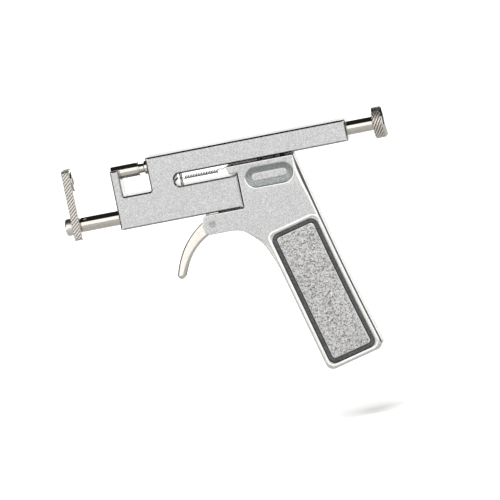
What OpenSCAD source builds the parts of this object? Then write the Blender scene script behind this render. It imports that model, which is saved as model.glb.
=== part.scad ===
/* [Body] */
// Width of the sliding body across the hand
body_w = 12; // [11:0.1:16]
// Length of the body's lower part, front wall to rear seam
body_len = 52.3; // [48:0.1:64]
// Overall reach of the barrel behind the body's front face
barrel_end = 100.8; // [96:0.1:124]
// Height of the barrel's top above the plunger axis
barrel_up = 4.3; // [4.1:0.1:6]
// Depth of the barrel's underside below the plunger axis
barrel_down = 4.8; // [4.5:0.1:6]
// Edge radius along the top of the barrel
barrel_edge_r = 0.6; // [0.4:0.1:1.4]
// Thickness of the front wall
front_wall = 3.7; // [3:0.1:5]
// Length of the stud-loading notch behind the front wall
notch_len = 12.05; // [11:0.05:15]
// Height of the front wall above the plunger axis
front_wall_up = 1.45; // [1:0.05:2.5]
// Height of the side slot under the barrel
slot_h = 5.1; // [4.6:0.01:7]
// Metal between the notch and the side slot
web_len = 10.5; // [8:0.1:13]
// Radius of the side slot's front corners
slot_r = 2; // [0.5:0.1:2.2]
// Deck between the side slot and the trigger cavity
deck_t = 2; // [1.4:0.05:3]
// Metal under the guide rod
floor_t = 1.85; // [1.4:0.05:3]

/* [Plunger] */
// Diameter of the stud holder and plunger head
plunger_d = 5.7; // [4.7:0.05:6.6]
// Diameter of the plunger rod
rod_d = 4; // [3.4:0.1:4.6]
// Diameter of the cocking sleeve
sleeve_d = 5.9; // [5.2:0.1:6.8]
// Length of the cocking sleeve outside the barrel
sleeve_out = 11; // [8:0.1:16]
// Diameter of the cocking knob
knob_d = 13.2; // [11:0.1:16]
// Length of the cocking knob
knob_len = 5.4; // [4:0.1:8]
// Cocking stroke of the plunger
stroke = 12; // [9:0.5:14]
// Length of the stud holder
holder_len = 12; // [10:0.1:14]
// Diameter of the stud socket
socket_d = 3; // [2:0.1:3.6]
// Depth of the stud socket
socket_len = 6; // [4:0.1:7]
// Diameter of the neck behind the stud holder
neck_d = 4; // [3.4:0.1:4.6]
// Wall between the plunger's collar land and the barrel bore's edge
land_step = 0.4; // [0.3:0.05:0.5]

/* [Front] */
// Diameter of the guide rod
guide_d = 6.2; // [5.2:0.01:7.5]
// Gap for the ear between the clasp plate and the body
ear_gap = 16.8; // [14:0.1:21]
// Thickness of the clasp plate
plate_t = 3.4; // [2.8:0.1:4.2]
// Width of the clasp plate
plate_w = 11; // [9.5:0.1:13]
// Height of the clasp plate above the plunger axis
plate_up = 5.2; // [4.8:0.1:7]
// Depth of the clasp plate below the guide rod axis
plate_down = 5.8; // [4.6:0.1:7]
// Diameter of the clasp cup
cup_d = 8.4; // [7:0.1:9]
// Height that the clasp cup stands proud
cup_proud = 0.5; // [0.3:0.1:1]
// Diameter of the clasp socket
clasp_d = 3.2; // [2.6:0.1:4]
// Diameter of the plate screw's head
head_d = 7.3; // [6:0.1:9]
// Length of the plate screw's head
head_len = 3.3; // [2:0.1:4]
// Diameter of the plate screw's shank
shank_d = 3.5; // [2.8:0.1:4.2]

/* [Trigger] */
// Travel of the body when the trigger is pulled
slide_travel = 8.7; // [7:0.1:9.6]
// Half of the trigger's swing
half_swing = 17.5; // [15:0.5:20]
// Place of the trigger pivot behind the body's front face
pivot_x = 38; // [36:0.1:40]
// Diameter of the trigger pivot pin
pivot_d = 3; // [2.4:0.1:3.6]
// Diameter of the push pin
push_d = 1.8; // [1.5:0.1:2.2]
// Thickness of each fork arm
arm_t = 1; // [0.8:0.1:1.2]
// Radius of the trigger hub
hub_r = 4; // [3.4:0.1:4.4]
// Reach of the trigger's finger blade
blade_reach = 25.7; // [22:0.1:30]
// Width of the trigger's finger blade
blade_w = 7; // [6:0.1:8]
// Radius of the trigger's tip
tip_r = 1.7; // [1.3:0.1:2.2]

/* [Grip] */
// Thickness of the grip
grip_t = 12; // [11:0.5:16]
// Width of the grip, front to back
grip_w = 25.7; // [22:0.1:30]
// Length of the grip along its rear edge
grip_len = 89; // [75:0.1:108]
// Rake of the grip
grip_rake = 14; // [10:0.5:18]
// Radius of the grip's bottom corners
grip_corner = 3; // [2:0.1:5]
// Length of the block under the barrel
block_len = 24.3; // [22:0.1:29]
// Reach of the block's nose into the side slot
nose_len = 4.7; // [3:0.1:5]
// Gap between the barrel and the block
block_gap = 0.9; // [0.5:0.1:1.4]
// Gap at the seam between the body and the block
seam_gap = 0.3; // [0.2:0.1:0.8]
// Width of the polished rim round the grip panel
rim_w = 2; // [1.5:0.1:3]
// Width of the trench inside the rim
trench_w = 2.1; // [1.5:0.1:3]
// Depth of the trench and of the block's pill-shaped recess
relief = 0.8; // [0.4:0.1:1.1]
// Length of the pill-shaped recess
pill_len = 20.2; // [16:0.1:21]
// Height of the pill-shaped recess
pill_h = 8.6; // [6:0.1:9.2]
// Thickness of the grip's side walls
grip_wall = 2; // [1.8:0.1:3]
// Diameter of the handle screws
screw_d = 2.5; // [2:0.1:3]

/* [Fits] */
// Radial clearance of sliding and turning pieces
run = 0.05; // [0.03:0.01:0.08]
// Radial clearance of pieces that are fixed together
snug = 0.02; // [0.01:0.01:0.03]
// Room round pieces that must not touch
room = 0.3; // [0.2:0.05:0.5]

/* [Hidden] */
$fn = 48;
eps = 0.02;          // overlap that keeps cuts clean
half = body_w / 2;
grip_half = grip_t / 2;

// barrel, notch and slot
notch_end = front_wall + notch_len;
slot_x = notch_end + web_len;
slot_top = -barrel_down;
slot_floor = slot_top - slot_h;
slot_mid = (slot_top + slot_floor) / 2;

// trigger cavity, guide rod and body floor, stacked downwards from the slot
guide_r = guide_d / 2;
push_r = push_d / 2;
arm_len = slide_travel / (2 * sin(half_swing));
arm_rise = arm_len * (1 - cos(half_swing));
cavity_roof = slot_floor - deck_t;
arm_end_r = push_r + 0.6;
push_z = cavity_roof - room - arm_end_r - arm_rise;
guide_z = push_z - push_r - room - guide_r;
body_floor = guide_z - guide_r - floor_t;
push_x = pivot_x + arm_len * sin(half_swing);
pivot_z = push_z - arm_len * cos(half_swing);
arm_in = guide_r + room;
arm_w = 4.2;
cavity_half = arm_in + arm_t + room;
cavity_front = pivot_x - 5;
cavity_rear = pivot_x + slide_travel + 1.5;

// plunger stack along the axis
flange_d = plunger_d + 0.55;
front_bore_r = flange_d / 2 + run;
land_r = front_bore_r + land_step - run;
bore_r = land_r + run;
neck_len = 2.1;
land_x = 30;
land_len = 3.6;
spring_x = land_x + land_len;
seat_x = spring_x + 23.6;
seat_len = 4;
spring_wire = 0.8;
rod_r = rod_d / 2;
sleeve_r = sleeve_d / 2;
bush_len = 12.8;
bush_x = barrel_end - bush_len;
pin_x = bush_x + 6;
pin_r = 0.75;
sleeve_x = pin_x - stroke - pin_r - 2;
sleeve_end = barrel_end + sleeve_out;
spigot_r = rod_r;
spigot_len = knob_len - 1.6;
sleeve_slot_depth = 0.75;
groove_len = 2.4;
groove_depth = 0.7;

// block and tongue of the handle
block_top = slot_top - block_gap;
seam_x = body_len + seam_gap;
block_rear = seam_x + block_len;
nose_x = seam_x - nose_len;
nose_under = slot_floor + block_gap;
tongue_top = body_floor - 0.5;
tongue_r = hub_r + 0.3;
rod_end = seam_x + 14;
function grip_point(along, across) = [
  block_rear + along * sin(grip_rake) - across * cos(grip_rake),
  block_top - along * cos(grip_rake) - across * sin(grip_rake)
];
waist = 0.8;
function rear_edge(along) = grip_point(along, waist * sin(180 * along / grip_len));

// sear, in a pocket in the block's top
sear_x = seam_x + 13.4;
sear_z = block_top - 2.9;
sear_half = 1.6;
nose_at = sear_x + 5;
nose_w = 1.6;
pocket_x = nose_x + 3;
pocket_end = block_rear - 1.5;
pocket_half = 3.6;
pocket_z = block_top - 6.2;
lug_in = sear_half + room / 2;
lug_out = pocket_half - room;
tail_x = sear_x - 5.6;
sear_spring_x = tail_x + 1.7;
foot_down = 2.3;
trip_r = 0.9;
trip_x = tail_x - slide_travel + 1.7;
trip_z = sear_z - foot_down + 0.45 - trip_r;

// clasp plate
plate_x = -ear_gap - plate_t;
plate_gap = 0.05;
post_x = slot_x + 2.1;
anchor_x = nose_x + 1.1;
anchor_z = block_top - 1.1;
holder_r = plunger_d / 2;
screw_r = screw_d / 2;
small_r = 0.8;       // the cover's fine screws

SILVER = "#cfd0cf";
NICKEL = "#dcd8cf";
STEEL = "#b4b6ba";

// Extrudes a side-view outline between two places across the hand
module across(y0, y1) translate([0, y1, 0]) rotate([90, 0, 0]) linear_extrude(y1 - y0) children();

// A round bar along the plunger's direction
module bar(x0, x1, r, z = 0) translate([x0, 0, z]) rotate([0, 90, 0]) cylinder(h = x1 - x0, r = r);

// A round pin across the hand
module cross(x, z, r, y0, y1) translate([x, y1, z]) rotate([90, 0, 0]) cylinder(h = y1 - y0, r = r);

// A rectangle given by two corners
module area(x0, z0, x1, z1) translate([x0, z0]) square([x1 - x0, z1 - z0]);

// A block given by two corners
module block(a, b) translate(a) cube(b - a);

// ---------------------------------------------------------------- sliding body

module barrel_section() {
  inset = half - barrel_edge_r;
  area(-half, -barrel_down, half, barrel_up - barrel_edge_r);
  area(-inset, -barrel_down, inset, barrel_up);
  for (side = [-1, 1]) translate([side * inset, barrel_up - barrel_edge_r]) circle(barrel_edge_r);
}

module body_outline() {
  area(0, body_floor, body_len, slot_floor);
  area(0, body_floor, front_wall, front_wall_up);
  difference() {
    area(notch_end, slot_floor - eps, slot_x + slot_r, slot_top + eps);
    area(slot_x + slot_r, slot_floor, slot_x + 2 * slot_r, slot_top);
    area(slot_x, slot_floor + slot_r, slot_x + 2 * slot_r, slot_top - slot_r);
    for (z = [slot_floor + slot_r, slot_top - slot_r]) translate([slot_x + slot_r, z]) circle(slot_r);
  }
}

cover_screw_at = [
  for (x = [cavity_front - 3.4, body_len - 2.1], z = [cavity_roof - 0.9, guide_z - guide_r - 0.1]) [x, z]
];
cover_x = cavity_front - 6;
cover_top = cavity_roof + 0.7;
cover_head_r = 1.5;
cover_seat = min(0.8, 0.6 * (half - cavity_half));

module sear_lugs() {
  for (side = [-1, 1]) {
    inner = side > 0 ? lug_in : -lug_out;
    across(inner, inner + lug_out - lug_in) {
      area(sear_x - 2.2, sear_z, sear_x + 2.2, slot_top + eps);
      translate([sear_x, sear_z]) circle(2.2);
    }
  }
}

module body_casting() color(SILVER) difference() {
  union() {
    translate([notch_end, 0, 0]) rotate([90, 0, 90]) linear_extrude(barrel_end - notch_end) barrel_section();
    across(-half, half) body_outline();
    sear_lugs();
  }
  // barrel bore, with the shoulder that stops the plunger
  bar(land_x, barrel_end + 1, bore_r);
  bar(-1, land_x + 1, front_bore_r);
  // open saddle for the stud holder in the front wall
  block([-1, -front_bore_r, 0], [front_wall + 1, front_bore_r, front_wall_up + 1]);
  // guide rod bore and trigger cavity
  bar(-1, body_len + 1, guide_r + run, guide_z);
  difference() {
    block([cavity_front, -cavity_half, body_floor - 1], [cavity_rear, cavity_half, cavity_roof]);
    push_wall();
  }
  // seat of the cover on the far side
  block([cover_x - snug, cavity_half, body_floor - 1], [body_len + 1, half + 1, cover_top + snug]);
  for (p = cover_screw_at) cross(p[0], p[1], small_r + snug, cavity_half - 2.6, half);
  // window for the sear's nose
  block([nose_at - 1.2, -nose_w / 2 - room, slot_top - 1], [nose_at + nose_w + 1.6, nose_w / 2 + room, 0]);
  // pins and screws
  cross(sear_x, sear_z, 0.75 + snug, -half, half);
  cross(seat_x + seat_len / 2, 0, 0.8 + snug, rod_r, half + 1);
  cross(pin_x, 0, pin_r + snug, 0, half + 1);
  translate([post_x, 0, cavity_roof + 0.6]) cylinder(h = slot_top - cavity_roof, r = 0.6 + snug);
  translate([sear_spring_x, 0, slot_top - 1]) cylinder(h = 1.5, r = 1.3);
}

// The face that the push pin bears on, in the cavity above the guide rod
module push_wall() {
  difference() {
    block([cavity_front - 1, -arm_in + room / 2, guide_z],
          [push_x - push_r - run, arm_in - room / 2, cavity_roof + 1]);
    bar(cavity_front - 2, push_x, guide_r + run, guide_z);
  }
}

module body_cover() color(SILVER) difference() {
  block([cover_x, cavity_half + snug, body_floor], [body_len, half, cover_top]);
  for (p = cover_screw_at) {
    cross(p[0], p[1], small_r + snug, cavity_half - 1, half + 1);
    cross(p[0], p[1], cover_head_r + snug, half - cover_seat, half + 1);
  }
}

module cover_screws() color(STEEL) for (p = cover_screw_at) difference() {
  union() {
    cross(p[0], p[1], small_r, cavity_half - 2.4, half - 0.5 * cover_seat);
    cross(p[0], p[1], cover_head_r, half - cover_seat + 0.02, half - 0.1);
  }
  block([p[0] - 2, half - 0.6 * cover_seat, p[1] - 0.2], [p[0] + 2, half + 1, p[1] + 0.2]);
}

module rear_end_bush() color(STEEL) difference() {
  bar(bush_x, barrel_end, bore_r - snug);
  bar(bush_x - 1, barrel_end + 1, sleeve_r + run);
  cross(pin_x, 0, pin_r + snug, 0, half);
}

module spring_seat_bush() color(STEEL) difference() {
  bar(seat_x, seat_x + seat_len, bore_r - snug);
  bar(seat_x - 1, seat_x + seat_len + 1, rod_r + run);
  cross(seat_x + seat_len / 2, 0, 0.8 + snug, rod_r + 0.3, half);
}

module seat_screw() color(STEEL) difference() {
  cross(seat_x + seat_len / 2, 0, 0.8, rod_r + 0.35, half - 0.2);
  block([seat_x, half - 0.8, -0.2], [seat_x + seat_len, half, 0.2]);
}

module travel_pin() color(STEEL) cross(pin_x, 0, pin_r, sleeve_r - sleeve_slot_depth + 0.1, half - 0.1);

module spring_post() color(STEEL) translate([post_x, 0, cavity_roof + 0.7])
  cylinder(h = slot_top - cavity_roof - 0.2, r = 0.6);

module sear_pivot_pin() color(STEEL) cross(sear_x, sear_z, 0.75, -lug_out, lug_out);

module sear_spring() color(STEEL) difference() {
  translate([sear_spring_x, 0, sear_z + 1.15]) cylinder(h = slot_top + 0.35 - sear_z - 1.15, r = 1.1);
  translate([sear_spring_x, 0, sear_z + 1]) cylinder(h = 5, r = 0.8);
}

// ---------------------------------------------------------------- plunger

module stud_holder() color(NICKEL) difference() {
  union() {
    bar(0, holder_len, holder_r);
    bar(holder_len - 0.5, holder_len, flange_d / 2);
  }
  bar(-1, socket_len, socket_d / 2);
  bar(socket_len + 1, holder_len + 1, rod_r - 0.6 + snug);
}

module plunger_head() color(NICKEL) difference() {
  union() {
    bar(socket_len + 1.5, holder_len + 1, rod_r - 0.6);
    bar(holder_len, holder_len + neck_len, neck_d / 2);
    bar(holder_len + neck_len, land_x + land_len, holder_r);
    bar(land_x, land_x + land_len, land_r);
  }
  bar(land_x - 6, land_x + land_len + 1, rod_r + snug);
}

module plunger_rod() color(STEEL) difference() {
  bar(land_x - 5.8, sleeve_x + 8, rod_r);
  // ring groove that the sear drops into once the plunger is cocked
  difference() {
    bar(nose_at - stroke - 0.3, nose_at - stroke + groove_len, rod_r + 1);
    bar(nose_at - stroke - 1, nose_at - stroke + groove_len + 1, rod_r - groove_depth);
  }
}

module cocking_sleeve() color(NICKEL) difference() {
  union() {
    bar(sleeve_x, sleeve_end, sleeve_r);
    bar(sleeve_end - 1, sleeve_end + spigot_len - 0.1, spigot_r);
  }
  bar(sleeve_x - 1, sleeve_x + 8.2, rod_r + snug);
  // flat-bottomed slot that the travel pin runs in
  block([pin_x - stroke - pin_r - 0.3, sleeve_r - sleeve_slot_depth, -pin_r - run],
        [pin_x + pin_r + 0.3, sleeve_r + 1, pin_r + run]);
}

module cocking_knob() color(NICKEL) difference() {
  union() {
    bar(sleeve_end, sleeve_end + knob_len, knob_d / 2 - 0.35);
    bar(sleeve_end + 0.5, sleeve_end + knob_len - 0.5, knob_d / 2);
  }
  bar(sleeve_end - 1, sleeve_end + spigot_len, spigot_r + snug);
}

module main_spring() color(STEEL) difference() {
  bar(spring_x + 0.05, seat_x - 0.05, bore_r - 0.3);
  bar(spring_x - 1, seat_x + 1, bore_r - 0.3 - spring_wire);
}

// ---------------------------------------------------------------- front end

module guide_rod() color(NICKEL) difference() {
  bar(-ear_gap + plate_gap, rod_end, guide_r, guide_z);
  bar(-ear_gap - 1, -ear_gap + 9, shank_d / 2 + snug, guide_z);
  cross(rod_end - 6, guide_z, 1 + snug, -guide_r - 1, guide_r + 1);
}

module plate_screw() color(NICKEL) difference() {
  union() {
    bar(plate_x - head_len, plate_x - plate_gap, head_d / 2 - 0.3, guide_z);
    bar(plate_x - head_len + 0.4, plate_x - plate_gap, head_d / 2, guide_z);
    bar(plate_x - 1, -ear_gap + 8.5, shank_d / 2, guide_z);
  }
  block([plate_x - head_len - 1, -head_d, guide_z - 0.5], [plate_x - head_len + 0.9, head_d, guide_z + 0.5]);
}

module clasp_plate() color(NICKEL) difference() {
  r = 1.5;
  low = guide_z - plate_down;
  translate([plate_x, 0, 0]) rotate([90, 0, 90]) linear_extrude(plate_t) {
    area(-plate_w / 2 + r, low, plate_w / 2 - r, plate_up);
    area(-plate_w / 2, low + r, plate_w / 2, plate_up - r);
    for (y = [-1, 1], z = [low + r, plate_up - r]) translate([y * (plate_w / 2 - r), z]) circle(r);
  }
  bar(plate_x - 1, -ear_gap + 1, shank_d / 2 + run, guide_z);
  bar(-ear_gap - 2, -ear_gap + 1, cup_d / 2 - 1 + snug);
  bar(plate_x - 1, -ear_gap, clasp_d / 2);
}

module clasp_cup() color(NICKEL) difference() {
  union() {
    bar(-ear_gap - 1.95, -ear_gap + eps, cup_d / 2 - 1);
    bar(-ear_gap + 0.01, -ear_gap + cup_proud, cup_d / 2);
  }
  bar(-ear_gap - 3, -ear_gap + 1, clasp_d / 2);
}

// ---------------------------------------------------------------- handle

// A place on the rounded corner at one side of the grip's bottom
function bottom_corner(turn, across, into) = grip_point(
  grip_len - grip_corner * (1 - sin(turn)), across + into * grip_corner * (1 - cos(turn)));

module handle_outline() {
  offset(1.2) offset(-1.2) offset(-1) offset(1) union() {
    polygon([
      [nose_x, block_top], [block_rear, block_top],
      for (along = [12:15:grip_len - grip_corner - 1]) rear_edge(along),
      for (turn = [0:15:90]) bottom_corner(turn, 0, 1),
      for (turn = [90:-15:0]) bottom_corner(turn, grip_w, -1),
      grip_point(40, grip_w), grip_point(29, grip_w + 1.5), grip_point(20, grip_w + 7),
      [pivot_x + 7, pivot_z - tongue_r], [pivot_x, pivot_z - tongue_r],
      [pivot_x, tongue_top], [seam_x, tongue_top], [seam_x, nose_under], [nose_x + 1, nose_under]
    ]);
    intersection() {
      translate([pivot_x, pivot_z]) circle(tongue_r);
      area(pivot_x - 10, pivot_z - 10, pivot_x + 10, tongue_top);
    }
  }
}

module grip_area(inset, first) {
  offset(1.5) offset(-1.5 - inset) polygon([
    rear_edge(first), for (along = [first + 10:15:grip_len - 1]) rear_edge(along),
    rear_edge(grip_len), grip_point(grip_len, grip_w), grip_point(first, grip_w)
  ]);
}

handle_screw_at = [grip_point(grip_len - 9, grip_w / 2), grip_point(19, 8), [pivot_x + 12, pivot_z]];

module pill(inset) {
  r = pill_h / 2 - inset;
  x0 = seam_x + 2.8 + pill_h / 2;
  x1 = seam_x + 2.8 + pill_len - pill_h / 2;
  z = block_top - 2.3 - pill_h / 2;
  area(x0, z - r, x1, z + r);
  for (x = [x0, x1]) translate([x, z]) circle(r);
}

// What the two shells share: side = -1 is the near shell, 1 the far one
module shell(side) {
  outer = side * grip_half;
  y0 = side < 0 ? -grip_half : 0.01;
  y1 = side < 0 ? -0.01 : grip_half;
  face0 = side < 0 ? outer - 1 : outer - relief;
  face1 = side < 0 ? outer + relief : outer + 1;
  difference() {
    across(y0, y1) handle_outline();
    // hollow grip, keeping bosses round the screws
    difference() {
      across(-grip_half + grip_wall, grip_half - grip_wall) difference() {
        grip_area(rim_w + trench_w + 0.5, 30);
        for (p = handle_screw_at) translate(p) circle(screw_r + 1.6);
      }
    }
    // trench round the raised panel, and the pill-shaped recess on the block
    across(face0, face1) difference() {
      grip_area(rim_w, 24);
      grip_area(rim_w + trench_w, 24);
    }
    across(face0, face1) pill(0);
    // room for the trigger's hub and arms between the cheeks
    across(-cavity_half, cavity_half) {
      translate([pivot_x, pivot_z]) circle(tongue_r + 0.2);
      area(pivot_x - 10, pivot_z - 10, pivot_x, tongue_top + 1);
      area(pivot_x - eps, pivot_z, pivot_x + tongue_r + 0.2, tongue_top + 1);
    }
    // guide rod, sear pocket and spring anchor
    bar(seam_x - 10, rod_end + 0.1, guide_r + snug, guide_z);
    block([pocket_x, -pocket_half, pocket_z], [pocket_end, pocket_half, block_top + 1]);
    block([nose_x - 1, -0.9, anchor_z - 1.4], [anchor_x + 0.9, 0.9, block_top + 1]);
    cross(rod_end - 6, guide_z, 1 + snug, -4, grip_half + 1);
    cross(pivot_x, pivot_z, pivot_d / 2 + snug, -grip_half - 1, grip_half + 1);
    cross(anchor_x, anchor_z, 0.5 + snug, -2.4, grip_half + 1);
    cross(trip_x, trip_z, trip_r + snug, -pocket_half - 1.2, grip_half + 1);
    for (p = handle_screw_at) {
      cross(p[0], p[1], screw_r + snug, -grip_half + 1.6, grip_half + 1);
      cross(p[0], p[1], screw_r + 1 + snug, grip_half - 1.9, grip_half + 1);
    }
  }
}

module handle_left_shell() color(SILVER) shell(-1);
module handle_right_shell() color(SILVER) shell(1);

module handle_screws() color(STEEL) for (p = handle_screw_at) difference() {
  union() {
    cross(p[0], p[1], screw_r, -grip_half + 1.8, grip_half - 1);
    cross(p[0], p[1], screw_r + 1, grip_half - 1.88, grip_half - 0.3);
  }
  block([p[0] - 3, grip_half - 1.1, p[1] - 0.3], [p[0] + 3, grip_half + 1, p[1] + 0.3]);
}

module rod_pin() color(STEEL) cross(rod_end - 6, guide_z, 1, -3.9, grip_half - 0.1);
module trigger_pivot_pin() color(STEEL)
  cross(pivot_x, pivot_z, pivot_d / 2, -grip_half + 0.1, grip_half - 0.1);
module spring_anchor_pin() color(STEEL) cross(anchor_x, anchor_z, 0.5, -2.3, grip_half - 0.1);
module sear_trip_pin() color(STEEL) cross(trip_x, trip_z, trip_r, -pocket_half - 1.1, grip_half - 0.1);

module return_spring() color(STEEL) {
  coil_x0 = post_x + 1.4;
  coil_x1 = anchor_x - 4.6;
  difference() {
    bar(coil_x0, coil_x1, 0.7, slot_mid);
    bar(coil_x0 + 1, coil_x1 - 1, 0.3, slot_mid);
  }
  bar(post_x + 0.6 + snug, coil_x0 + eps, 0.2, slot_mid);
  translate([coil_x1 - eps, -0.2, slot_mid - 0.2]) cube([1.6, 0.4, 0.4]);
  translate([coil_x1 + 1.2, -0.2, slot_mid - 0.2]) cube([0.4, 0.4, anchor_z - slot_mid]);
  translate([coil_x1 + 1.2, -0.2, anchor_z - 0.4]) cube([anchor_x - 0.5 - snug - coil_x1 - 1.2, 0.4, 0.4]);
}

// ---------------------------------------------------------------- trigger and sear

blade_tip = [pivot_x - blade_reach * sin(42.6), pivot_z - blade_reach * cos(42.6)];
blade_bend = [pivot_x - 0.49 * blade_reach, pivot_z - 0.2 * blade_reach];
blade_root = [pivot_x, pivot_z];
function blade_at(t) = (1 - t) * (1 - t) * blade_root + 2 * t * (1 - t) * blade_bend + t * t * blade_tip;
function blade_dir(t) =
  let (d = (1 - t) * (blade_bend - blade_root) + t * (blade_tip - blade_bend)) d / norm(d);
function blade_edge(t, side) = let (d = blade_dir(t), w = hub_r * 0.8 * (1 - t) + tip_r * t)
  blade_at(t) + side * w * [-d[1], d[0]];

module trigger() color(NICKEL) difference() {
  union() {
    cross(pivot_x, pivot_z, hub_r, -arm_in - arm_t, arm_in + arm_t);
    across(-blade_w / 2, blade_w / 2) {
      polygon([for (k = [0:12]) blade_edge(k / 12, 1), for (k = [12:-1:0]) blade_edge(k / 12, -1)]);
      translate(blade_tip) circle(tip_r);
    }
    for (y = [-arm_in - arm_t, arm_in]) across(y, y + arm_t) {
      translate([pivot_x, pivot_z]) rotate(90 - half_swing)
        polygon([[0, -arm_w / 2], [arm_len, -arm_end_r], [arm_len, arm_end_r], [0, arm_w / 2]]);
      translate([push_x, push_z]) circle(arm_end_r);
    }
  }
  cross(pivot_x, pivot_z, pivot_d / 2 + run, -half, half);
  cross(push_x, push_z, push_r + snug, -half, half);
}

module trigger_push_pin() color(STEEL) cross(push_x, push_z, push_r, -arm_in - arm_t, arm_in + arm_t);

module sear() color(STEEL) difference() {
  union() {
    across(-sear_half, sear_half) {
      area(tail_x, sear_z - 1.1, nose_at + nose_w, sear_z + 1);
      translate([sear_x, sear_z]) circle(1.9);
      area(tail_x, sear_z - foot_down, tail_x + 1.5, sear_z);
    }
    across(-nose_w / 2, nose_w / 2) area(nose_at, sear_z, nose_at + nose_w, -rod_r - 0.15);
  }
  cross(sear_x, sear_z, 0.75 + run, -half, half);
}

handle_left_shell();
handle_right_shell();
handle_screws();
guide_rod();
rod_pin();
trigger_pivot_pin();
spring_anchor_pin();
sear_trip_pin();
plate_screw();
clasp_plate();
clasp_cup();
body_casting();
body_cover();
cover_screws();
rear_end_bush();
spring_seat_bush();
seat_screw();
travel_pin();
spring_post();
sear_pivot_pin();
sear_spring();
stud_holder();
plunger_head();
plunger_rod();
cocking_sleeve();
cocking_knob();
main_spring();
return_spring();
trigger();
trigger_push_pin();
sear();
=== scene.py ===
"""An ear-piercing gun: the visible shapes and finishes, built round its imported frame.

Lengths in the classes are in millimetres, in the frame's own axes: +X runs along the plunger towards
the cocking knob, +Z is up and -Y is the near side. The plunger's axis is the X axis.
"""

import logging
import math
from dataclasses import dataclass
from enum import Enum
from typing import Callable, Sequence

import bmesh
import bpy
from mathutils import Matrix, Vector, noise
from mathutils.geometry import tessellate_polygon
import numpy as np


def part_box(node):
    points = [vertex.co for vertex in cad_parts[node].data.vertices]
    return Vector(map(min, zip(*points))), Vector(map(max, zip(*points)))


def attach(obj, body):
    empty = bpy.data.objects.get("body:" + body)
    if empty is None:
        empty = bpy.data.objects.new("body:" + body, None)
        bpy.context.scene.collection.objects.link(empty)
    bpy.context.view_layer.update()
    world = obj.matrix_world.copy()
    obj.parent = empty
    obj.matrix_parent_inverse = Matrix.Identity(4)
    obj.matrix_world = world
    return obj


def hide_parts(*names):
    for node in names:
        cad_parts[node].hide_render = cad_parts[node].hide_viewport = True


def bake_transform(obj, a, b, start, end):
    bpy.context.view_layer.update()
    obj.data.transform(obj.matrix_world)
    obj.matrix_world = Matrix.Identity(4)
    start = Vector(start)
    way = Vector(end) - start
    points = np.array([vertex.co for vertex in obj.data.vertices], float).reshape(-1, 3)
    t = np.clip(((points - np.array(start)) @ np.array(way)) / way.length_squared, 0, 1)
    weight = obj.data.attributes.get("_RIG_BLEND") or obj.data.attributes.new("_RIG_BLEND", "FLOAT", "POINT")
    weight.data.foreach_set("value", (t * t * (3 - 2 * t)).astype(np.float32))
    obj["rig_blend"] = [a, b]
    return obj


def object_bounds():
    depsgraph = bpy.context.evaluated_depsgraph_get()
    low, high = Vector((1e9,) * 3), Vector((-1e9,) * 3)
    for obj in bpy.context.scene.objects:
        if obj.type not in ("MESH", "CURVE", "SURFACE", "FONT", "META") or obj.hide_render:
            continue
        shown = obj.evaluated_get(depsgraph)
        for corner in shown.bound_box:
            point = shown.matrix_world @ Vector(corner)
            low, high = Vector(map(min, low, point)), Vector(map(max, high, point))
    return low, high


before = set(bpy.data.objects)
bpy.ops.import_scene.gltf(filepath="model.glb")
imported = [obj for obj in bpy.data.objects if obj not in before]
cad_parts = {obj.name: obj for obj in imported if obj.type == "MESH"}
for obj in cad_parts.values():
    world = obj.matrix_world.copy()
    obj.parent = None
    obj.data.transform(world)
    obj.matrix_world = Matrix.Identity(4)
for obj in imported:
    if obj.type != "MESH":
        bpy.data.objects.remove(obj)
CAD_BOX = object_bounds()

MM = 0.001
SHARP = 32.0
FINE_SHARP = 24.0
SAME_SPOT = 0.0005
Point = tuple[float, float]
Spot = tuple[float, float, float]
Loop = list[Point]
EdgeRule = Callable[[Point], Point]
LOG = logging.getLogger("ear_piercing_gun")


class Slot(Enum):
    """The record's material slots."""

    CAST = "cast_silver"
    NICKEL = "nickel"
    STEEL = "steel"
    SPRING = "spring_steel"


class Body(Enum):
    """The bodies that pieces ride on."""

    HANDLE = "handle"
    CLASP = "clasp_holder"
    SLIDE = "slide_body"
    PLUNGER = "plunger"
    TRIGGER = "trigger"
    SEAR = "sear"


# ------------------------------------------------------------------ outlines


def box_mm(node: str) -> tuple[Vector, Vector]:
    """Lowest and highest corner of a CAD node, in millimetres.

    Args:
        node: The node's name.

    Returns:
        The two corners.
    """
    low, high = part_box(node)
    return low / MM, high / MM


def pin_place(node: str) -> Point:
    """Where a pin across the hand, or a bar along X, has its middle in the side view.

    Args:
        node: The node's name.

    Returns:
        The (x, z) of its middle.
    """
    low, high = box_mm(node)
    return (low.x + high.x) / 2, (low.z + high.z) / 2


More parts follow.
